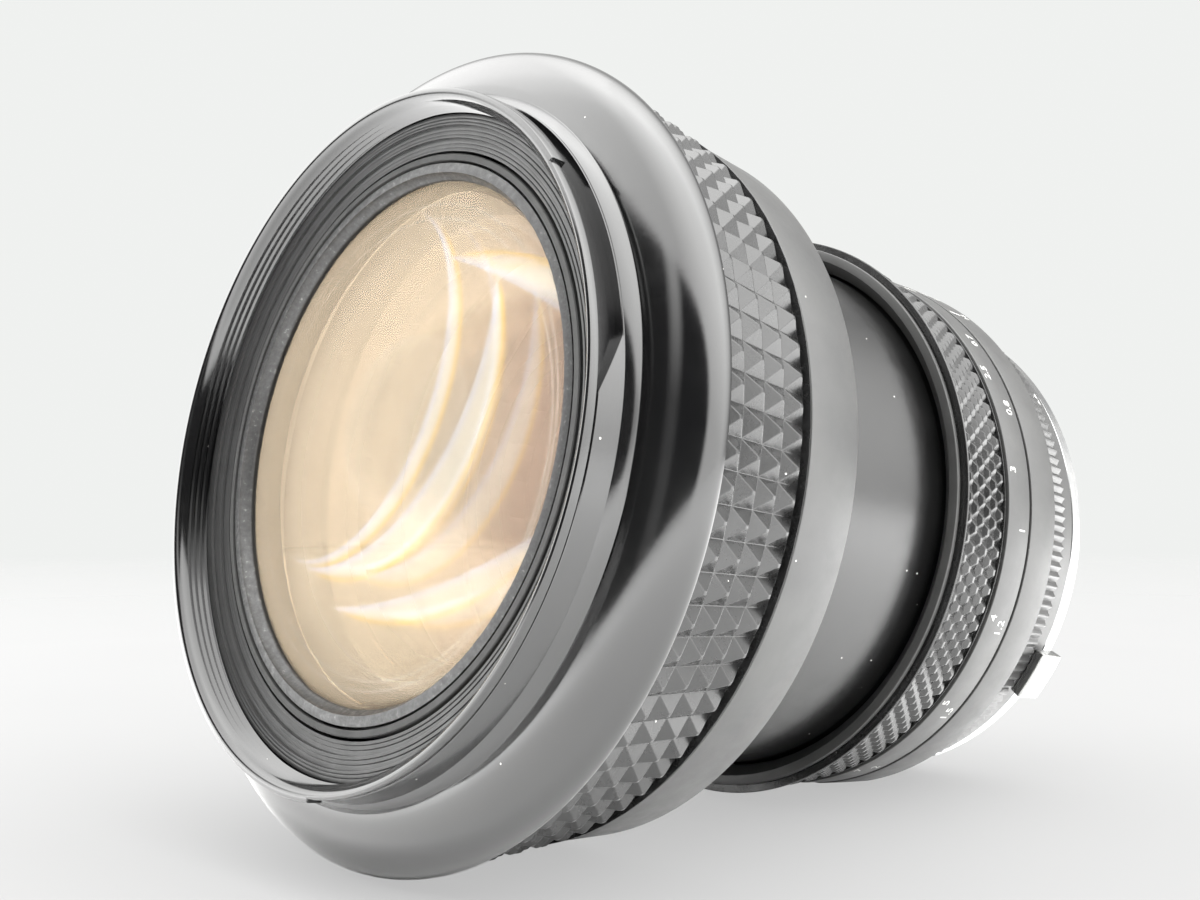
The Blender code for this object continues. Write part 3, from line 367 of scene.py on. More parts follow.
def glyphs(name, marks, radius_at, look="index_white"):
    """Numbers laid on a ring.  A mark is (text, angle, y, height)."""
    bm = bmesh.new()
    for text, turn, y, height in marks:
        curve = bpy.data.curves.new("glyphs", "FONT")
        curve.body = text
        curve.size = height * MM
        curve.align_x = "CENTER"
        curve.align_y = "CENTER"
        curve.resolution_u = 3
        curve.extrude = 0.02 * MM
        flat = linked("glyphs", curve)
        mesh = evaluated(flat)
        bpy.data.objects.remove(flat)
        for v in mesh.vertices:
            across, along, up = v.co / MM
            y_here = y - along
            radius = radius_at(y_here) + up
            v.co = polar(radius, turn + math.degrees(across / radius), y_here)
        bm.from_mesh(mesh)
        bpy.data.meshes.remove(mesh)
    return to_object(name, bm, look)


# ---------------- shader nodes
def feed(node, *values, **inputs):
    """Link or set the inputs of a node, in their order or by name."""
    named = [(node.inputs[name.replace("_", " ")], value) for name, value in inputs.items()]
    for socket, value in [*zip(node.inputs, values), *named]:
        if isinstance(value, bpy.types.NodeSocket):
            node.id_data.links.new(value, socket)
        else:
            socket.default_value = (*value, 1.0) if socket.type == "RGBA" else value
    return node


def add(tree, kind, output, *values, **inputs):
    """Add a shader node and give back one of its outputs."""
    return feed(tree.nodes.new("ShaderNode" + kind), *values, **inputs).outputs[output]


def maths(tree, operation, *values):
    node = tree.nodes.new("ShaderNodeMath")
    node.operation = operation
    return feed(node, *values).outputs["Value"]


def vectors(tree, operation, *values):
    """An operation on vectors; LENGTH and DOT_PRODUCT give a number."""
    node = tree.nodes.new("ShaderNodeVectorMath")
    node.operation = operation
    number = operation in ("LENGTH", "DOT_PRODUCT")
    return feed(node, *values).outputs["Value" if number else "Vector"]


def mixed(tree, share, below, above, kind="RGBA"):
    """below where share is 0 and above where it is 1: colours, or numbers if kind is FLOAT."""
    node = tree.nodes.new("ShaderNodeMix")
    node.data_type = kind
    return feed(node, Factor=share, A=below, B=above).outputs["Result"]


def noise(tree, where, per_mm, detail=4.0, roughness=0.6):
    """A noise texture with so many features in a mm."""
    return add(tree, "TexNoise", "Fac", Vector=where, Scale=per_mm / MM, Detail=detail,
               Roughness=roughness)


def ramp(tree, source, stops):
    node = tree.nodes.new("ShaderNodeValToRGB")
    elements = node.color_ramp.elements
    while len(elements) < len(stops):
        elements.new(0.5)
    for element, (position, colour) in zip(elements, stops):
        element.position = position
        element.color = (*colour, 1.0)
    return feed(node, source).outputs["Color"]


def spread(tree, source, low, high, from_low=0.3, from_high=0.7):
    """Stretch a number from one range to another, and hold it there.  By default the first
    is the range that noise mostly keeps to."""
    return add(tree, "MapRange", "Result", Value=source, From_Min=from_low,
               From_Max=from_high, To_Min=low, To_Max=high)


def off_axis(tree, where, x=0.0, z=0.0):
    """Distance from the line through (x, z), in mm, that runs along the axis."""
    away = vectors(tree, "SUBTRACT", where, Vector((x, 0.0, z)) * MM)
    return vectors(tree, "LENGTH", vectors(tree, "MULTIPLY", away, (1.0, 0.0, 1.0)))


def radius_and_depth(tree, where):
    """A vector of (distance from the axis, y, 0), for marks that run round the axis."""
    depth = add(tree, "SeparateXYZ", "Y", where)
    return add(tree, "CombineXYZ", "Vector", off_axis(tree, where), depth)


def dust(tree, where, per_mm, size, keep):
    """1 on small specks, 0 elsewhere.  keep is the share of cells that hold a speck."""
    distance = add(tree, "TexVoronoi", "Distance", Vector=where, Scale=per_mm / MM)
    draw = add(tree, "SeparateColor", "Red", distance.node.outputs["Color"])
    return maths(tree, "MULTIPLY", maths(tree, "LESS_THAN", distance, size),
                 maths(tree, "LESS_THAN", draw, keep))


def bumped(tree, node, height, strength, distance_mm):
    """Raise the surface that a shader, or another bump, works on."""
    bump = feed(tree.nodes.new("ShaderNodeBump"), Strength=strength,
                Distance=distance_mm * MM, Height=height)
    feed(node, Normal=bump.outputs["Normal"])
    return bump


# ---------------- materials
DUST_COLOUR = (0.42, 0.41, 0.39)
FINISHES = {}


def new_finish(name):
    mat = bpy.data.materials.new(name)
    FINISHES[name] = mat
    mat.use_nodes = True
    tree = mat.node_tree
    return tree, tree.nodes["Principled BSDF"], add(tree, "TexCoord", "Object")


def grey(value):
    return (value, value, value)


def plastic(name, dark, light, roughness, grain_per_mm, bump_strength, bump_mm,
            specks=0.0, coat=0.0, turned=0.0):
    """Moulded or anodised finish: two shades mixed by noise, uneven roughness, fine grain,
    and where asked for dust specks and lathe marks."""
    tree, shader, where = new_finish(name)
    cloud = noise(tree, where, 0.12, 5.0)
    colour = ramp(tree, cloud, [(0.3, dark), (0.72, light)])
    if specks:
        colour = mixed(tree, dust(tree, where, 0.9, 0.09, specks), colour, DUST_COLOUR)
    smear = noise(tree, where, 0.35, 6.0, 0.7)
    feed(shader, Base_Color=colour, Roughness=spread(tree, smear, *roughness),
         Coat_Weight=coat, Coat_Roughness=0.08)
    grain = noise(tree, where, grain_per_mm, 3.0, 0.55)
    bump = bumped(tree, shader, grain, bump_strength, bump_mm)
    if turned:
        marks = noise(tree, radius_and_depth(tree, where), 5.0, 2.0, 0.5)
        bumped(tree, bump, marks, turned, 0.02)


def worn_black(name):
    """Matt black paint on a retaining ring, rubbed through to metal in short ring marks."""
    tree, shader, where = new_finish(name)
    rubbed = noise(tree, where, 1.6, 8.0, 0.75)
    colour = ramp(tree, rubbed, [(0.42, grey(0.008)), (0.60, grey(0.02)),
                                 (0.72, (0.16, 0.155, 0.15))])
    feed(shader, Base_Color=colour, Roughness=spread(tree, rubbed, 0.6, 0.3),
         Metallic=spread(tree, rubbed, 0.0, 0.5, 0.62, 0.74))
    bumped(tree, shader, rubbed, 0.25, 0.03)


def metal(name, dark, light, roughness):
    """Turned metal with fine ring marks and a little tarnish."""
    tree, shader, where = new_finish(name)
    marks = noise(tree, radius_and_depth(tree, where), 7.0)
    tarnish = noise(tree, where, 0.25, 6.0, 0.65)
    colour = ramp(tree, tarnish, [(0.3, dark), (0.65, light)])
    feed(shader, Base_Color=colour, Roughness=spread(tree, marks, *roughness), Metallic=1.0)
    bumped(tree, shader, marks, 0.5, 0.01)


# Reflections painted onto the front glass as fixed crescents: the bright part lies inside the
# first circle and outside the second.  A circle is (x, z, radius) in mm, seen along the axis.
REFLECTION_CRESCENTS = (((-0.6, 4.4, 19.2), (-5.3, 8.0, 21.5)), ((-5.4, 5.2, 18.7), (-7.6, 5.9, 18.8)),
          ((12.4, -7.4, 24.7), (-10.2, -49.5, 68.9)), ((5.8, 9.0, 27.4), (-3.7, 35.8, 53.0)))
# a pale painted disc with a bright edge, and thin painted rings of reflected light
REFLECTION_DISC = (7.0, 0.2, 8.7)
REFLECTION_RINGS = ((0.9, -0.5, 24.3), (1.9, -0.9, 22.9))
REFLECTION_LIFT = 0.45          # how much the painted reflections raise the milky share
ROSE_FROM, ROSE_TO = 9.0, 22.0     # x between which the painted reflections turn rose
# colours of the painted reflections
ROSE = (0.86, 0.60, 0.48)
PALE = (0.98, 0.90, 0.76)
AMBER = (1.0, 0.66, 0.22)
BLUE = (0.78, 0.82, 1.0)


def with_painted_reflections(tree, where, colour):
    """Lay the painted reflections over a colour; also gives how strongly they show."""
    def scaled(mark, high):
        """A mark from 0 to 1 made one from 0 to high."""
        return spread(tree, mark, 0.0, high, 0.0, 1.0)

    def inside(circle, inset=0.0, soft=0.12):
        x, z, radius = circle
        edge = radius - inset
        away = off_axis(tree, where, x, z)
        return spread(tree, away, 1.0, 0.0, (edge - soft) * MM, (edge + soft) * MM)

    def outside(mark, *circle):
        """The part of a mark that lies outside a circle."""
        return maths(tree, "MULTIPLY", mark, spread(tree, inside(*circle), 1.0, 0.0, 0.0, 1.0))

    def larger(first, second):
        return maths(tree, "MAXIMUM", first, second)

    right = add(tree, "SeparateXYZ", "X", where)
    rose = spread(tree, right, 0.0, 0.75, ROSE_FROM * MM, ROSE_TO * MM)
    colour = mixed(tree, rose, colour, ROSE)
    disc = inside(REFLECTION_DISC)
    disc_edge = outside(disc, REFLECTION_DISC, 0.35, 0.2)
    colour = mixed(tree, scaled(disc, 0.25), colour, PALE)
    strong = scaled(larger(disc_edge, scaled(disc, 0.2)), 0.4)
    for circle in REFLECTION_RINGS:
        line = outside(inside(circle, 0.0, 0.08), circle, 0.22, 0.08)
        strong = larger(strong, scaled(line, 0.5))
        colour = mixed(tree, line, colour, PALE)
    for outer, hollow in REFLECTION_CRESCENTS:
        bright = outside(inside(outer), hollow)
        colour = mixed(tree, bright, colour, PALE)
        colour = mixed(tree, outside(bright, outer, 0.5, 0.3), colour, AMBER)
        blue = maths(tree, "MULTIPLY", bright, inside(hollow, -0.55, 0.35))
        colour = mixed(tree, scaled(blue, 0.7), colour, BLUE)
        strong = larger(strong, bright)
    return colour, strong


def coated_glass(name, tint_low, tint_high, cover, haze=0.0, painted_reflections=False):
    """Multi-coated glass: a mirror-like tinted coating over clear glass.  cover is the share
    of light that the coating sends back, haze the share that scatters in it; with
    painted_reflections, painted reflections are laid over that scattered share and raise it."""
    tree, shader, where = new_finish(name)
    colour = ramp(tree, noise(tree, where, 0.03, 2.0), [(0.35, tint_low), (0.65, tint_high)])
    smear = noise(tree, where, 0.2, 6.0, 0.7)
    feed(shader, Base_Color=colour, Roughness=spread(tree, smear, 0.01, 0.045), Metallic=1.0)
    clear = add(tree, "BsdfTransparent", "BSDF", Color=(0.96, 0.95, 0.93))
    coating = add(tree, "MixShader", 0, spread(tree, smear, cover * 0.95, cover * 1.05),
                  clear, shader.outputs["BSDF"])
    share = spread(tree, smear, haze * 0.95, haze * 1.05)
    if painted_reflections:
        # painted reflections: rose tint towards +X, a pale disc, rings and crescents, which also
        # raise the milky share
        colour, strong = with_painted_reflections(tree, where, colour)
        share = maths(tree, "MULTIPLY_ADD", strong, haze * REFLECTION_LIFT, share)
    milky = add(tree, "BsdfDiffuse", "BSDF", Color=colour)
    veiled = add(tree, "MixShader", 0, share, coating, milky)
    feed(tree.nodes["Material Output"], Surface=veiled)


FLOOR_SEEN = 0.07          # the floor's shade as the camera sees it
FLOOR_VEIL = 0.49          # and the even light that lies over it
FLOOR_SHADE = 0.95         # its shade as it lights the lens
FLOOR_GLOW = 2.2           # and its light, away from the lens
FLOOR_GLOW_FROM, FLOOR_GLOW_TO = 0.05, 0.16    # in m, as are the next
FLOOR_FADE_FROM, FLOOR_FADE_TO = 0.25, 0.8


def pale_floor(name):
    """A floor that looks even to the camera, lights the lens, and fades out all round."""
    tree, shader, where = new_finish(name)
    paper = noise(tree, where, 0.02, 3.0)
    shade = ramp(tree, paper, [(0.3, grey(FLOOR_SEEN)), (0.7, grey(FLOOR_SEEN * 1.03))])
    feed(shader, Base_Color=shade, Roughness=0.6, Specular_IOR_Level=0.1)
    away = vectors(tree, "LENGTH", where)
    fade = spread(tree, away, 0.0, 1.0, FLOOR_FADE_FROM, FLOOR_FADE_TO)
    glow = spread(tree, away, 0.0, FLOOR_GLOW, FLOOR_GLOW_FROM, FLOOR_GLOW_TO)
    bounce = add(tree, "BsdfDiffuse", "BSDF", Color=grey(FLOOR_SHADE))
    lighting, seen = (
        add(tree, "AddShader", 0, surface, add(tree, "Emission", 0, Strength=strength))
        for surface, strength in ((bounce, glow), (shader.outputs["BSDF"], FLOOR_VEIL)))
    camera_ray = add(tree, "LightPath", "Is Camera Ray")
    direct = add(tree, "MixShader", 0, camera_ray, lighting, seen)
    clear = add(tree, "BsdfTransparent", "BSDF")
    feed(tree.nodes["Material Output"],
         Surface=add(tree, "MixShader", 0, fade, direct, clear))


plastic("gloss_black", (0.0020, 0.0020, 0.0022), grey(0.0045), (0.09, 0.17),
        2.2, 0.10, 0.02, specks=0.02, coat=0.25)
plastic("barrel_black", grey(0.002), grey(0.004), (0.18, 0.26),
        3.0, 0.05, 0.01, specks=0.05, turned=0.15)
plastic("satin_black", grey(0.020), (0.032, 0.032, 0.031), (0.36, 0.46),
        6.0, 0.16, 0.02, specks=0.01)
plastic("matt_black", grey(0.005), grey(0.010), (0.40, 0.55), 5.0, 0.25, 0.02, turned=0.9)
plastic("inner_black", grey(0.012), (0.020, 0.020, 0.019), (0.6, 0.8), 4.0, 0.2, 0.02)
plastic("rubber", grey(0.005), grey(0.013), (0.20, 0.32), 3.0, 0.20, 0.03, specks=0.05)
worn_black("worn_black")
metal("chrome", (0.28, 0.285, 0.29), (0.40, 0.40, 0.395), (0.12, 0.30))
metal("steel", grey(0.20), (0.32, 0.32, 0.31), (0.20, 0.38))
metal("blade_steel", (0.10, 0.10, 0.11), (0.17, 0.17, 0.18), (0.3, 0.5))
metal("brass", (0.30, 0.21, 0.10), (0.42, 0.32, 0.16), (0.22, 0.4))
metal("aluminium", (0.26, 0.26, 0.27), (0.38, 0.38, 0.39), (0.3, 0.45))
plastic("index_white", (0.34, 0.34, 0.33), (0.48, 0.48, 0.465), (0.35, 0.5), 4.0, 0.1, 0.01)
plastic("scale_grey", (0.34, 0.34, 0.33), (0.48, 0.48, 0.46), (0.45, 0.6), 4.0, 0.1, 0.01)
# the front glass carries the painted reflections in its milky share
coated_glass("front_glass", (0.90, 0.73, 0.53), (0.93, 0.76, 0.56), 0.024, haze=0.118,
             painted_reflections=True)
coated_glass("second_glass", (0.95, 0.72, 0.50), (0.97, 0.78, 0.56), 0.02)
coated_glass("inner_glass", (0.80, 0.70, 0.82), (0.92, 0.78, 0.70), 0.03)
pale_floor("floor_white")


# ---------------- front shroud
def shroud_outline(degrees):
    turn = signed(degrees)
    cut_away = LIP_END < turn < ENTRY_TOP
    lip = LIP_RADIUS if cut_away else RIM_RADIUS
    lip_depth = ENTRY_LIP_DEPTH if cut_away else FLANGE_DEPTH
    groove_end, groove_radius, step_radius = GROOVE_REAR, GROOVE_RADIUS, RIM_RADIUS + 0.1
    if cut_away and turn < ENTRY_RAMP:
        share = max(0.0, (turn - ENTRY_TIP) / (ENTRY_RAMP - ENTRY_TIP))
        groove_end = lip_depth + 0.1 + (GROOVE_REAR - lip_depth - 0.1) * share
        if share == 0.0:
            groove_radius = lip - 0.15
        step_radius = lip + (RIM_RADIUS + 0.1 - lip) * share
    points = [(rim(FILTER_REAR), FILTER_BORE), (rim(3.3), FILTER_BORE)]
    pitch = THREAD_LENGTH / THREAD_TURNS
    for i in range(THREAD_TURNS):
        depth = THREAD_END - pitch * i
        points += [(rim(depth), THREAD_ROOT), (rim(depth - 0.5 * pitch), THREAD_CREST)]
    points += [(rim(0.5), THREAD_ROOT + 0.05), (rim(0.38), 33.5)]
    points += [(rim(0.08), 33.84), (rim(0.0), 34.0), (rim(0.0), lip - 0.22),
               (rim(0.05), lip - 0.07), (rim(0.2), lip)]
    points += [(rim(lip_depth - 0.08), lip), (rim(lip_depth), lip - 0.08),
               (rim(lip_depth), groove_radius), (rim(groove_end), groove_radius),
               (rim(groove_end), step_radius - 0.07), (rim(groove_end + 0.07), step_radius)]
    points += [(rim(GROOVE_REAR + 0.2), RIM_RADIUS + 0.12),
               (rim(SHOULDER_DEPTH - 0.45), SHOULDER_RADIUS - 0.16),
               (rim(SHOULDER_DEPTH - 0.08), SHOULDER_RADIUS - 0.07)]
    rise = SHROUD_RADIUS - SHOULDER_RADIUS
    for i in range(BULGE_STEPS + 1):
        t = math.pi / 2 * i / BULGE_STEPS
        depth = BULGE_DEPTH - (BULGE_DEPTH - SHOULDER_DEPTH) * math.cos(t)
        points.append((rim(depth), SHOULDER_RADIUS + rise * math.sin(t)))
    points += [(SHROUD_REAR_Y - 0.3, SHROUD_RADIUS - 0.02),
               (SHROUD_REAR_Y - 0.1, SHROUD_RADIUS - 0.1), (SHROUD_REAR_Y, SHROUD_RADIUS - 0.3),
               (SHROUD_REAR_Y, SHROUD_RADIUS - 1.6), (rim(7.2), SHROUD_RADIUS - 2.8),
               (rim(SHROUD_WEB), SHOULDER_RADIUS), (rim(SHROUD_WEB), SHROUD_BORE),
               (rim(FILTER_REAR), SHROUD_BORE)]
    return points


def make_shroud():
    shroud = lathe("front_shroud_shell", shroud_outline, "gloss_black", 480,
                   breaks=(ENTRY_TOP, ENTRY_TIP, ENTRY_RAMP, LIP_END))
    place(shroud, "front_cell", "gloss_black", "front_shroud")


# ---------------- front group
def make_baffle():
    """Stepped matt ring between the filter thread and the glass, with fine turned grooves."""
    levels = [(SHROUD_BORE, 30.6, 0.62), (30.6, 31.9, 0.3), (31.9, BAFFLE_RADIUS, 0.0)]
    points = [(BAFFLE_REAR_Y, BAFFLE_RADIUS), (BAFFLE_REAR_Y, SHROUD_BORE)]
    grooves = 3
    for start, end, depth in levels:
        y = BAFFLE_FRONT_Y + depth
        width = (end - start) / grooves
        points.append((y + 0.04, start))
        for i in range(grooves):
            r = start + width * i
            points += [(y, r + 0.08), (y, r + width * 0.7), (y + 0.09, r + width * 0.8)]
        points[-1] = (y, end - 0.03)
    place(lathe("baffle_steps", points, "matt_black"), "front_cell", "matt_black",
          "baffle_ring")


def make_front_keeper():
    """Threaded retaining ring over the glass, with a conical lip rubbed bright in places."""
    wobble = random.Random(7)
    waves = [(wobble.uniform(0.004, 0.02), n, wobble.uniform(0, 360)) for n in (9, 23, 41, 67, 97)]
    lip = 26.4

    def outline(degrees):
        worn = sum(size * math.sin(math.radians(n * degrees + phase)) for size, n, phase in waves)
        return [(KEEPER_REAR_Y, lip + worn), (KEEPER_REAR_Y - 0.16, lip + worn + 0.02),
                (KEEPER_REAR_Y - 0.3, lip + 0.12 + worn), (KEEPER_FRONT_Y + 0.35, lip + 0.5),
                (KEEPER_FRONT_Y, 27.0), (KEEPER_FRONT_Y, 27.55),
                (KEEPER_FRONT_Y + 0.1, KEEPER_RADIUS), (KEEPER_REAR_Y, KEEPER_RADIUS)]
    place(lathe("front_keeper_lip", outline, "worn_black", 360), "front_cell",
          "matt_black", "front_retaining_ring")


def make_cell():
    """The cell that holds the front glasses; its edge shows between baffle and keeper."""
    bore = SECOND_RADIUS + GAP
    glass_bore = GLASS_RADIUS + GAP
    front_seat_y = GLASS_REAR_Y + GAP
    second_seat_y = SECOND_VERTEX_Y + sagitta(SECOND_CURVE, SECOND_RADIUS) - GAP
    glass_front_y = GLASS_VERTEX_Y + sagitta(GLASS_CURVE, GLASS_RADIUS) - 0.2
    points = [(CELL_FRONT_Y, CELL_RADIUS - 0.7), (CELL_FRONT_Y, CELL_RADIUS - 0.1),
              (CELL_FRONT_Y + 0.1, CELL_RADIUS), (CELL_REAR_Y - 0.2, CELL_RADIUS),
              (CELL_REAR_Y, CELL_RADIUS - 0.2), (CELL_REAR_Y, bore), (second_seat_y, bore),
              (second_seat_y, bore - CELL_SEAT), (front_seat_y, bore - CELL_SEAT),
              (front_seat_y, glass_bore),
              (glass_front_y, glass_bore), (glass_front_y, CELL_RADIUS - 0.7)]
    place(lathe("front_cell_tube", points, "inner_black", 192), "front_cell",
          "matt_black", "cell_barrel")


def lens_outline(front_edge_y, rear_edge_y, radius, front_curve, rear_curve, rings):
    """A lens; a positive curve bulges to the front, a negative one to the rear, 0 is flat."""
    def face(edge_y, curve):
        if curve == 0.0:
            return [(edge_y, radius * i / rings) for i in range(rings)]
        ball, side = abs(curve), math.copysign(1.0, curve)
        deep = sagitta(ball, radius)
        return [(edge_y - side * (deep - sagitta(ball, radius * i / rings)), radius * i / rings)
                for i in range(rings)]
    bevelled = 0.15
    return (face(front_edge_y, front_curve)
            + [(front_edge_y, radius - bevelled), (front_edge_y + bevelled, radius),
               (rear_edge_y - bevelled, radius), (rear_edge_y, radius - bevelled)]
            + face(rear_edge_y, rear_curve)[::-1])


def make_glass():
    front_edge = GLASS_VERTEX_Y + sagitta(GLASS_CURVE, GLASS_RADIUS)
    outline = lens_outline(front_edge, GLASS_REAR_Y, GLASS_RADIUS, GLASS_CURVE,
                           GLASS_REAR_CURVE, 24)
    place(lathe("front_glass", outline, "front_glass", 192), "front_cell", "coated_glass",
          "front_element")
    second_edge = SECOND_VERTEX_Y + sagitta(SECOND_CURVE, SECOND_RADIUS)
    outline = lens_outline(second_edge, SECOND_REAR_Y, SECOND_RADIUS, SECOND_CURVE,
                           SECOND_REAR_CURVE, 20)
    place(lathe("second_glass", outline, "second_glass", 160), "front_cell", "coated_glass",
          "second_element")


# ---------------- control ring
def make_control_ring():
    grip = knurled_ring("control_grip_rubber", GRIP_FRONT_Y, GRIP_REAR_Y,
                        (GRIP_RADIUS, GRIP_REAR_RADIUS), (39.4, GRIP_BED[1] + GAP), rows=4,
                        count=86, depth=1.05, top_share=0.12, borders=(0.0, 0.1),
                        staggered=False, edge_width=0.07)
    place(grip, "control_ring", "rubber", "control_grip")
    skirt_front, skirt_rear, skirt_inner = CONTROL_SKIRT
    bore = BARREL_FLANGE_RADIUS + GAP
    lip_front = BARREL_FRONT_Y + FLANGE_OFFSET + FLANGE_WIDTH + GAP
    lip_depth, lip_height = SLEEVE_LIP
    sleeve = lathe("control_sleeve_shell", softened([
        (SLEEVE_FRONT_Y, bore), (SLEEVE_FRONT_Y, GRIP_BED[0]), (GRIP_REAR_Y + GAP, GRIP_BED[1]),
        (GRIP_REAR_Y + GAP, skirt_front, 0.18), (SLEEVE_REAR_Y, skirt_rear, 0.14),
        (SLEEVE_REAR_Y, skirt_inner + 0.3, 0.1), (lip_front + lip_depth, skirt_inner),
        (lip_front + lip_depth, bore - lip_height), (lip_front, bore - lip_height),
        (lip_front, bore)]), "satin_black")
    place(sleeve, "control_ring", "satin_black", "control_sleeve")


# ---------------- inner barrel
def make_barrel():
    step_y = BARREL_REAR_Y - 4.0
    flange_front = BARREL_FRONT_Y + FLANGE_OFFSET
    flange_rear = flange_front + FLANGE_WIDTH
    key_angles = (90.0, 270.0)
    pin_half, key_half = 2.1, 5.0
    pin_slot_end = BARREL_FRONT_Y + 2.5 + 0.7 + 0.8 + GAP

    def outline(degrees):
        front = pin_slot_end if near_one(degrees, THIRDS, pin_half) else BARREL_FRONT_Y
        keyed = near_one(degrees, key_angles, key_half)
        web = KEY_SLOT_RADIUS if keyed else GUIDE_TUBE_RADIUS + GAP
        return [(front, BARREL_BORE), (front, BARREL_RADIUS), (flange_front, BARREL_RADIUS),
                (flange_front, BARREL_FLANGE_RADIUS), (flange_rear, BARREL_FLANGE_RADIUS),
                (flange_rear, BARREL_RADIUS), (step_y - 0.2, BARREL_RADIUS),
                (step_y, BARREL_RADIUS - 0.2), (step_y, BARREL_THREAD),
                (BARREL_REAR_Y, BARREL_THREAD), (BARREL_REAR_Y, web), (step_y - 1.4, web),
                (step_y - 1.4, BARREL_BORE)]
    breaks = edges_of(THIRDS, pin_half) + edges_of(key_angles, key_half)
    place(lathe("bare_barrel", outline, "barrel_black", breaks=breaks), "lens_block",
          "gloss_black", "inner_barrel")


# ---------------- focus ring
def make_focus_ring():
    bore = BARREL_RADIUS + GAP
    tongue, tongue_length = FOCUS_TONGUE
    skirt_front = FOCUS_GRIP_REAR_Y + GAP
    skirt_rear = TONGUE_REAR_Y - tongue_length
    sleeve = lathe("focus_sleeve_shell", softened([
        (MOUTH_Y + 1.2, bore), (MOUTH_Y, bore + 1.2, 0.08), (MOUTH_Y, MOUTH_RADIUS, 0.15),
        (MOUTH_Y + 0.5, MOUTH_RADIUS), (MOUTH_Y + 0.5, FOCUS_SEAT), (skirt_front, FOCUS_SEAT),
        (skirt_front, FOCUS_SKIRT, 0.15), (skirt_rear, FOCUS_SKIRT, 0.15), (skirt_rear, tongue),
        (TONGUE_REAR_Y, tongue), (TONGUE_REAR_Y, bore)]), "satin_black")
    place(sleeve, "focus_ring", "satin_black", "focus_sleeve")
    grip = knurled_ring("focus_grip_rubber", FOCUS_GRIP_FRONT_Y, FOCUS_GRIP_REAR_Y,
                        (FOCUS_GRIP_RADIUS, FOCUS_GRIP_REAR_RADIUS), (FOCUS_SEAT + GAP,) * 2,
                        rows=6, count=96, depth=0.6, top_share=0.3, borders=(0.25, 0.25),
                        staggered=True, edge_width=0.05)
    place(grip, "focus_ring", "rubber", "focus_grip")
    metres = [("0.5", 0), ("0.6", 26), ("0.7", 48), ("0.8", 66), ("1", 92), ("1.2", 112),
              ("1.5", 133), ("2", 154), ("3", 173), ("5", 187), ("10", 195)]
    feet = [("1.7", 2), ("2", 28), ("2.5", 58), ("3", 80), ("4", 110), ("5", 130), ("7", 156),
            ("10", 174), ("20", 190)]
    rows = ((metres, 0.68, "metres", "index_white"), (feet, 0.26, "feet", "scale_grey"))
    for scale, share, label, look in rows:
        y = skirt_front + (skirt_rear - skirt_front) * share
        marks = [(text, SCALE_MIDDLE - turn, y, 1.7) for text, turn in scale]
        numbers = glyphs(f"focus_numbers_{label}", marks, lambda y_here: FOCUS_SKIRT + 0.004, look)
        place(numbers, "focus_ring", "index_white")


# ---------------- fixed ring
def make_housing():
    inner, tube = HOUSING_TUBE
    scale_rear = SCALE_FRONT_Y + SCALE_WIDTH
    floor_y = HOUSING_REAR_Y - HOUSING_FLOOR
    web_y = scale_rear - HOUSING_WEB
    housing = lathe("fixed_ring_shell", softened([
        (SCALE_FRONT_Y, TONGUE_BORE), (SCALE_FRONT_Y, SCALE_RADIUS, 0.15),
        (scale_rear, SCALE_RADIUS, 0.15), (scale_rear, tube), (HOUSING_REAR_Y, tube),
        (HOUSING_REAR_Y, HOUSING_BORE), (floor_y, HOUSING_BORE), (floor_y, inner),
        (web_y, inner), (web_y, TONGUE_BORE)]), "satin_black")
    bored(housing, "satin_black", SCREW_SHANK + GAP, floor_y - 1.0, HOUSING_REAR_Y + 1.0)
    place(housing, "root", "satin_black", "fixed_housing")
    middle = (SCALE_FRONT_Y + scale_rear) / 2
    bm = bmesh.new()
    marks = []
    for side in (-1, 1):
        for i, (stop, turn) in enumerate(DEPTH_MARKS):
            at = SCALE_MIDDLE + side * turn
            block(bm, SCALE_FRONT_Y + 0.35, middle - 0.6 + 0.2 * i, SCALE_RADIUS - 0.1,
                  SCALE_RADIUS + 0.02, at, 0.45, 1)
            marks.append((stop, at, scale_rear - 1.5, 1.5))
    place(to_object("depth_marks", bm, "index_white"), "root", "index_white")
    numbers = glyphs("depth_numbers", marks, lambda y_here: SCALE_RADIUS + 0.004)
    place(numbers, "root", "index_white")


def make_index_bead():
    low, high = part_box("index_bead")
    centre = (low + high) / 2
    radius = (high.x - low.x) / 2
    bm = bmesh.new()
    rings = [(radius, low.z), (radius, high.z - radius * 0.3)]
    rings += [(radius * math.cos(t), high.z - radius * 0.3 * (1 - math.sin(t)))
              for t in (0.5, 0.9, 1.25)]
    turns = [math.tau * i / 32 for i in range(32)]
    rows = [[bm.verts.new((centre.x + r * math.cos(turn), centre.y + r * math.sin(turn), z))
             for turn in turns] for r, z in rings]
    for low_row, high_row in zip(rows, rows[1:]):
        strip(bm, low_row, high_row)
    bm.faces.new(rows[0][::-1])
    bm.faces.new(rows[-1])
    place(to_object("index_dot", bm, "index_white"), "root", "index_white", "index_bead")


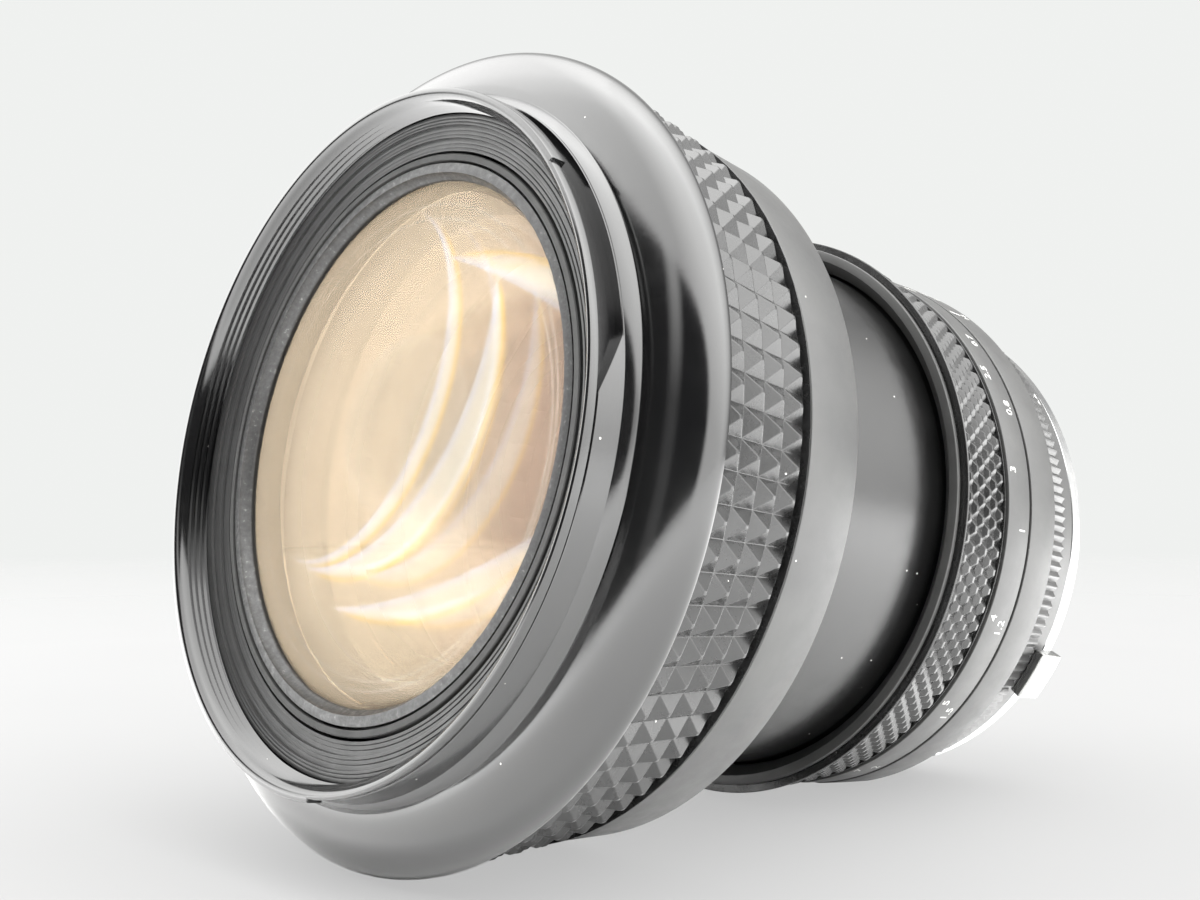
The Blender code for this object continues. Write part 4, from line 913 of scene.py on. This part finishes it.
# ---------------- aperture ring
def make_aperture_ring():
    bore = HOUSING_TUBE[1] + GAP
    ribs_rear = APERTURE_FRONT_Y + RIBS_LENGTH
    land_y = APERTURE_FRONT_Y + APERTURE_LAND

    def outline(degrees):
        phase = (degrees * RIBS / 360.0) % 1.0
        high = min(1.0, max(0.0, 2.6 * (0.5 - abs(phase - 0.5)) - 0.15))
        drop = RIB_DEPTH * (1.0 - high)
        return [(APERTURE_FRONT_Y, bore), (APERTURE_FRONT_Y, APERTURE_RADIUS - 0.15),
                (APERTURE_FRONT_Y + 0.15, APERTURE_RADIUS), (land_y, APERTURE_RADIUS - 0.06),
                (land_y + 0.15, APERTURE_RADIUS - 0.08 - drop), (ribs_rear - 0.2, 32.3 - drop),
                (ribs_rear, 32.15 - drop), (ribs_rear, APERTURE_SKIRT),
                (APERTURE_REAR_Y - 0.15, APERTURE_SKIRT - 0.2),
                (APERTURE_REAR_Y, APERTURE_SKIRT - 0.35), (APERTURE_REAR_Y, bore)]
    ring = lathe("aperture_ribs", outline, "satin_black", RIBS * 6, sharp=40)
    place(ring, "aperture_ring", "satin_black", "aperture_ring")
    stops = ("2", "2.8", "4", "5.6", "8", "11", "16", "22")
    y = (ribs_rear + APERTURE_REAR_Y) / 2
    marks = [(stop, SCALE_MIDDLE - 8.0 * i, y, 1.9) for i, stop in enumerate(stops)]

    def skirt_at(y_here):
        return APERTURE_SKIRT - 0.2 * (y_here - ribs_rear) / 3.3 + 0.01
    place(glyphs("stop_numbers", marks, skirt_at), "aperture_ring", "index_white")
    low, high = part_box("coupling_prong")
    bm = bmesh.new()
    block(bm, low.y / MM, high.y / MM, APERTURE_SKIRT + GAP, APERTURE_SKIRT + PRONG_HEIGHT,
          PRONG_AT, PRONG_SPAN, 8)
    prong = bevel(to_object("coupling_ridge", bm, "steel"), 0.25, 3)
    place(prong, "aperture_ring", "steel", "coupling_prong")


# ---------------- mount
def make_mount():
    throat, bayonet = THROAT_RADIUS, BAYONET_RADIUS
    lug_front, lug_rear = BAYONET_REAR_Y - LUG_FRONT, BAYONET_REAR_Y - LUG_REAR

    def outline(degrees):
        reach = LUG_RADIUS if near_one(degrees, THIRDS, LUG_HALF) else bayonet
        return [(MOUNT_FRONT_Y, throat), (MOUNT_FRONT_Y, MOUNT_RADIUS - 0.4),
                (MOUNT_FRONT_Y + 0.4, MOUNT_RADIUS), (-0.25, MOUNT_RADIUS),
                (0.0, MOUNT_RADIUS - 0.25), (0.0, bayonet + 0.5), (0.25, bayonet),
                (lug_front, bayonet), (lug_front, reach - 0.15), (lug_front + 0.15, reach),
                (lug_rear - 0.15, reach), (lug_rear, reach - 0.15), (lug_rear, bayonet),
                (BAYONET_REAR_Y - 0.2, bayonet), (BAYONET_REAR_Y, bayonet - 0.2),
                (BAYONET_REAR_Y, throat + 0.2), (BAYONET_REAR_Y - 0.2, throat)]
    plate = lathe("mount_bayonet", outline, "chrome", breaks=edges_of(THIRDS, LUG_HALF))
    bored(plate, "chrome", SCREW_HEAD + GAP, -1.6, 1.0)
    bored(plate, "chrome", SCREW_SHANK + GAP, MOUNT_FRONT_Y - 1.0, -1.0)
    place(plate, "root", "chrome", "mount_plate")
    for i in range(1, len(MOUNT_SCREWS) + 1):
        make_screw(f"mount_screw_head_{i}", f"mount_screw_{i}")
    make_mask()


def make_screw(name, node):
    """Cross-headed screw, with its head's rounded edge and cross cut in the mesh."""
    low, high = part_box(node)
    centre = (low + high) / 2
    front, rear = low.y / MM, high.y / MM
    points = [(front, 0.0), (front, SCREW_SHANK), (rear - SCREW_HEAD_DEPTH, SCREW_SHANK),
              (rear - SCREW_HEAD_DEPTH, SCREW_HEAD), (rear - 0.3, SCREW_HEAD),
              (rear - 0.12, SCREW_HEAD - 0.1), (rear, SCREW_HEAD - 0.35), (rear, 0.0)]
    screw = lathe(name, points, "steel", 40)
    screw.data.transform(Matrix.Translation((centre.x, 0.0, centre.z)))
    bm = bmesh.new()
    for turn in (20.0, 110.0):
        made = bmesh.ops.create_cube(bm, size=MM)
        shape = (Matrix.Translation((centre.x, (rear - 0.1) * MM, centre.z))
                 @ Matrix.Rotation(math.radians(turn), 4, "Y")
                 @ Matrix.Diagonal((1.7, 0.9, 0.34, 1.0)))
        bmesh.ops.transform(bm, matrix=shape, verts=made["verts"])
    cut(screw, bm, "steel", crossed=True)
    place(screw, "root", "steel", node)


def make_mask():
    slot_middle, slot_half, slot_radius = MASK_SLOT

    def outline(degrees):
        outer = slot_radius if near_one(degrees, (slot_middle,), slot_half) else MASK_RADIUS
        return [(MASK_FRONT_Y, MASK_BORE + 0.6), (MASK_FRONT_Y, outer), (MASK_REAR_Y, outer),
                (MASK_REAR_Y, MASK_BORE + 0.3), (MASK_REAR_Y - 0.3, MASK_BORE)]
    breaks = edges_of((slot_middle,), slot_half)
    place(lathe("throat_mask", outline, "inner_black", FINE_STEPS, breaks), "root",
          "matt_black", "rear_mask")


# ---------------- rear glass
def make_rear_group():
    front_y, rear_y, radius = extent("fifth_element")
    front_curve, rear_curve = REAR_GLASS_CURVES
    outline = lens_outline(front_y + sagitta(front_curve, radius),
                           rear_y - sagitta(rear_curve, radius), radius,
                           front_curve, -rear_curve, 20)
    place(lathe("rear_glass", outline, "inner_glass", FINE_STEPS), "lens_block", "coated_glass",
          "fifth_element")
    keeper_front, keeper_rear, outer = extent("rear_retaining_ring")
    bore = outer - 1.3
    points = [(keeper_front, bore), (keeper_front, outer), (keeper_rear, outer),
              (keeper_rear, bore + 0.5), (keeper_rear - 0.5, bore)]
    place(lathe("rear_keeper_lip", points, "worn_black", FINE_STEPS), "lens_block",
          "matt_black", "rear_retaining_ring")


# ---------------- pieces kept as they are
KEPT = {
    "inner_black": ("second_retaining_ring", "third_retaining_ring", "rear_spacer",
                    "iris_housing", "rear_cell"),
    "inner_glass": ("third_element", "fourth_element"),
    "steel": (*(f"cell_guide_pin_{i}" for i in (1, 2, 3)), "detent_ball", "detent_spring",
              "stop_down_lever"),
    "brass": ("guide_key_1", "guide_key_2", "control_retaining_ring", "iris_drive_ring"),
    "aluminium": ("guide_tube",),
    "blade_steel": tuple(f"iris_blade_{i + 1}" for i in range(7)),
}


def dress_kept():
    for look, nodes in KEPT.items():
        for node in nodes:
            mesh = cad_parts[node].data
            mesh.materials.clear()
            mesh.materials.append(FINISHES[look])


# ---------------- stage
AXIS_YAW = 42.4            # the lens axis as the camera sees it, degrees to the right
AXIS_DROP = 13.0           # and downwards
CAMERA_PITCH = 6.8
CAMERA_FROM_RIM = Vector((119.94, -72.80, -16.99)) * MM
FOCAL_LENGTH = 41.73
SENSOR_WIDTH = 36.0
FRAME_SHIFT = (-0.139, -0.099)
FLOOR_REACH = 0.9          # radius of the floor, m
FLOOR_SINK = 0.3 * MM      # how far it lies under the shroud's bulge
SURROUND = 6.0             # brightness of the white surroundings
SURROUND_SEEN = 0.88       # how bright the camera sees them
OVERHEAD = 9.5             # brightness above and to the right
OVERHEAD_SIDE = Vector((0.35, 0.25, 0.90))
BEHIND = 0.7               # brightness straight behind the lens, as the camera looks
BEHIND_SIDE = Vector((-0.50, 0.86, 0.12))
ROOM = 0.05                # brightness of the dark room behind the camera
ROOM_MIDDLE = (8.0, 9.0)   # bearing from -Y towards +X and height, degrees
ROOM_HALF = (68.0, 25.0)   # half width and half height
ROOM_FLARE = 0.13          # how much taller it gets towards +X
STRIP = 0.6                # brightness of the pale strip in it, at its foot
STRIP_TOP = 4.0            # and at its top
STRIP_BEARING = (4.0, 9.0, 5.0)    # its middle, half width and soft edge, degrees
STRIP_CLIMB = (12.0, 30.0)         # heights of its foot and top, degrees
PANEL_AT = Vector((-0.35, -0.15, 0.5))
PANEL_AIM = Vector((0.0, -0.04, 0.0))
PANEL_SIZE = 0.5
PANEL_POWER = 0.4


def view_directions():
    """The lens's own X, Y and Z directions, in camera terms: x right, y down, z ahead."""
    yaw, drop, pitch = (math.radians(a) for a in (AXIS_YAW, AXIS_DROP, CAMERA_PITCH))
    axis = Vector((math.cos(drop) * math.sin(yaw), math.sin(drop), math.cos(drop) * math.cos(yaw)))
    down = Vector((0.0, math.cos(pitch), -math.sin(pitch)))
    up = -(down - down.dot(axis) * axis).normalized()
    return axis.cross(up), axis, up, down


def make_camera():
    """Set the camera and give back the direction that is down for it."""
    side, axis, up, down = view_directions()
    data = bpy.data.cameras.new("camera")
    data.lens = FOCAL_LENGTH
    data.sensor_width = SENSOR_WIDTH
    data.shift_x, data.shift_y = FRAME_SHIFT
    data.clip_start = 0.005
    camera = linked("camera", data)
    right = Vector((side.x, axis.x, up.x))
    top = -Vector((side.y, axis.y, up.y))
    back = -Vector((side.z, axis.z, up.z))
    turn = Matrix((right, top, back)).transposed().to_4x4()
    location = Vector((0.0, RIM_Y * MM, 0.0)) + CAMERA_FROM_RIM
    camera.matrix_world = Matrix.Translation(location) @ turn
    bpy.context.scene.camera = camera
    return Vector((side.dot(down), axis.dot(down), up.dot(down)))


def make_floor(down):
    """A pale floor that touches the shroud's bulge, fading into the white surroundings."""
    foot = Vector((0.0, rim(BULGE_DEPTH) * MM, -SHROUD_RADIUS * MM))
    normal = -down.normalized()
    bm = bmesh.new()
    count, steps = 24, 96
    middle = bm.verts.new((0.0, 0.0, 0.0))
    rings = []
    for i in range(1, count + 1):
        radius = FLOOR_REACH * (i / count) ** 1.6
        rings.append([bm.verts.new((radius * math.cos(math.tau * k / steps),
                                    radius * math.sin(math.tau * k / steps), 0.0))
                      for k in range(steps)])
    for k, point in enumerate(rings[0]):
        bm.faces.new((middle, point, rings[0][(k + 1) % steps]))
    for near, far in zip(rings, rings[1:]):
        strip(bm, far, near)
    floor = to_object("floor", bm, "floor_white")
    floor.matrix_world = (Matrix.Translation(foot - normal * FLOOR_SINK)
                          @ Vector((0, 0, 1)).rotation_difference(normal).to_matrix().to_4x4())


def make_world():
    """White surroundings with a dark room behind the camera, as round a light tent."""
    world = bpy.data.worlds.new("light_tent")
    bpy.context.scene.world = world
    world.use_nodes = True
    tree = world.node_tree
    tree.nodes.clear()
    where = add(tree, "TexCoord", "Generated")
    x = add(tree, "SeparateXYZ", "X", where)
    y, z = (x.node.outputs[name] for name in "YZ")

    def off(angle, middle):
        return maths(tree, "SUBTRACT", angle, math.radians(middle))

    def within(angle, middle, half, soft):
        away = maths(tree, "ABSOLUTE", off(angle, middle))
        return spread(tree, away, 1.0, 0.0, math.radians(half - soft), math.radians(half + soft))

    def towards(side, low, high):
        facing = vectors(tree, "DOT_PRODUCT", where, side.normalized())
        return spread(tree, facing, 0.0, 1.0, low, high)

    def squared_share(part, whole):
        return maths(tree, "POWER", maths(tree, "DIVIDE", part, whole), 2.0)

    bearing = maths(tree, "ARCTAN2", x, maths(tree, "MULTIPLY", y, -1.0))
    climb = maths(tree, "ARCSINE", z)
    half_width, half_height = (math.radians(half) for half in ROOM_HALF)
    half_height = maths(tree, "MULTIPLY_ADD", bearing, ROOM_FLARE, half_height)
    reach = maths(tree, "ADD", squared_share(off(bearing, ROOM_MIDDLE[0]), half_width),
                  squared_share(off(climb, ROOM_MIDDLE[1]), half_height))
    tent = mixed(tree, towards(OVERHEAD_SIDE, 0.50, 0.88), SURROUND, OVERHEAD, "FLOAT")
    tent = mixed(tree, towards(BEHIND_SIDE, 0.12, 0.75), tent, BEHIND, "FLOAT")
    strip_light = spread(tree, climb, STRIP, STRIP_TOP, *(math.radians(a) for a in STRIP_CLIMB))
    room = mixed(tree, within(bearing, *STRIP_BEARING), ROOM, strip_light, "FLOAT")
    dark = spread(tree, reach, 1.0, 0.0, 0.85, 1.1)
    lit = add(tree, "Background", 0, Color=(1.0, 1.0, 0.99),
              Strength=mixed(tree, dark, tent, room, "FLOAT"))
    seen = add(tree, "Background", 0, Color=(0.985, 1.0, 0.985), Strength=SURROUND_SEEN)
    camera_ray = add(tree, "LightPath", "Is Camera Ray")
    feed(tree.nodes.new("ShaderNodeOutputWorld"),
         Surface=add(tree, "MixShader", 0, camera_ray, lit, seen))
    bpy.context.scene.view_settings.view_transform = "Standard"


def make_soft_light():
    """A large soft panel above and to the left of the lens."""
    light = bpy.data.lights.new("soft_panel", "AREA")
    light.energy = PANEL_POWER
    light.size = PANEL_SIZE
    panel = linked("soft_panel", light)
    panel.location = PANEL_AT
    panel.rotation_euler = (PANEL_AIM - PANEL_AT).to_track_quat("-Z", "Y").to_euler()


# ---------------- build
for make in (make_shroud, make_baffle, make_front_keeper, make_cell, make_glass,
             make_control_ring, make_barrel, make_focus_ring, make_housing, make_index_bead,
             make_aperture_ring, make_mount, make_rear_group, dress_kept):
    make()
make_floor(make_camera())
make_world()
make_soft_light()
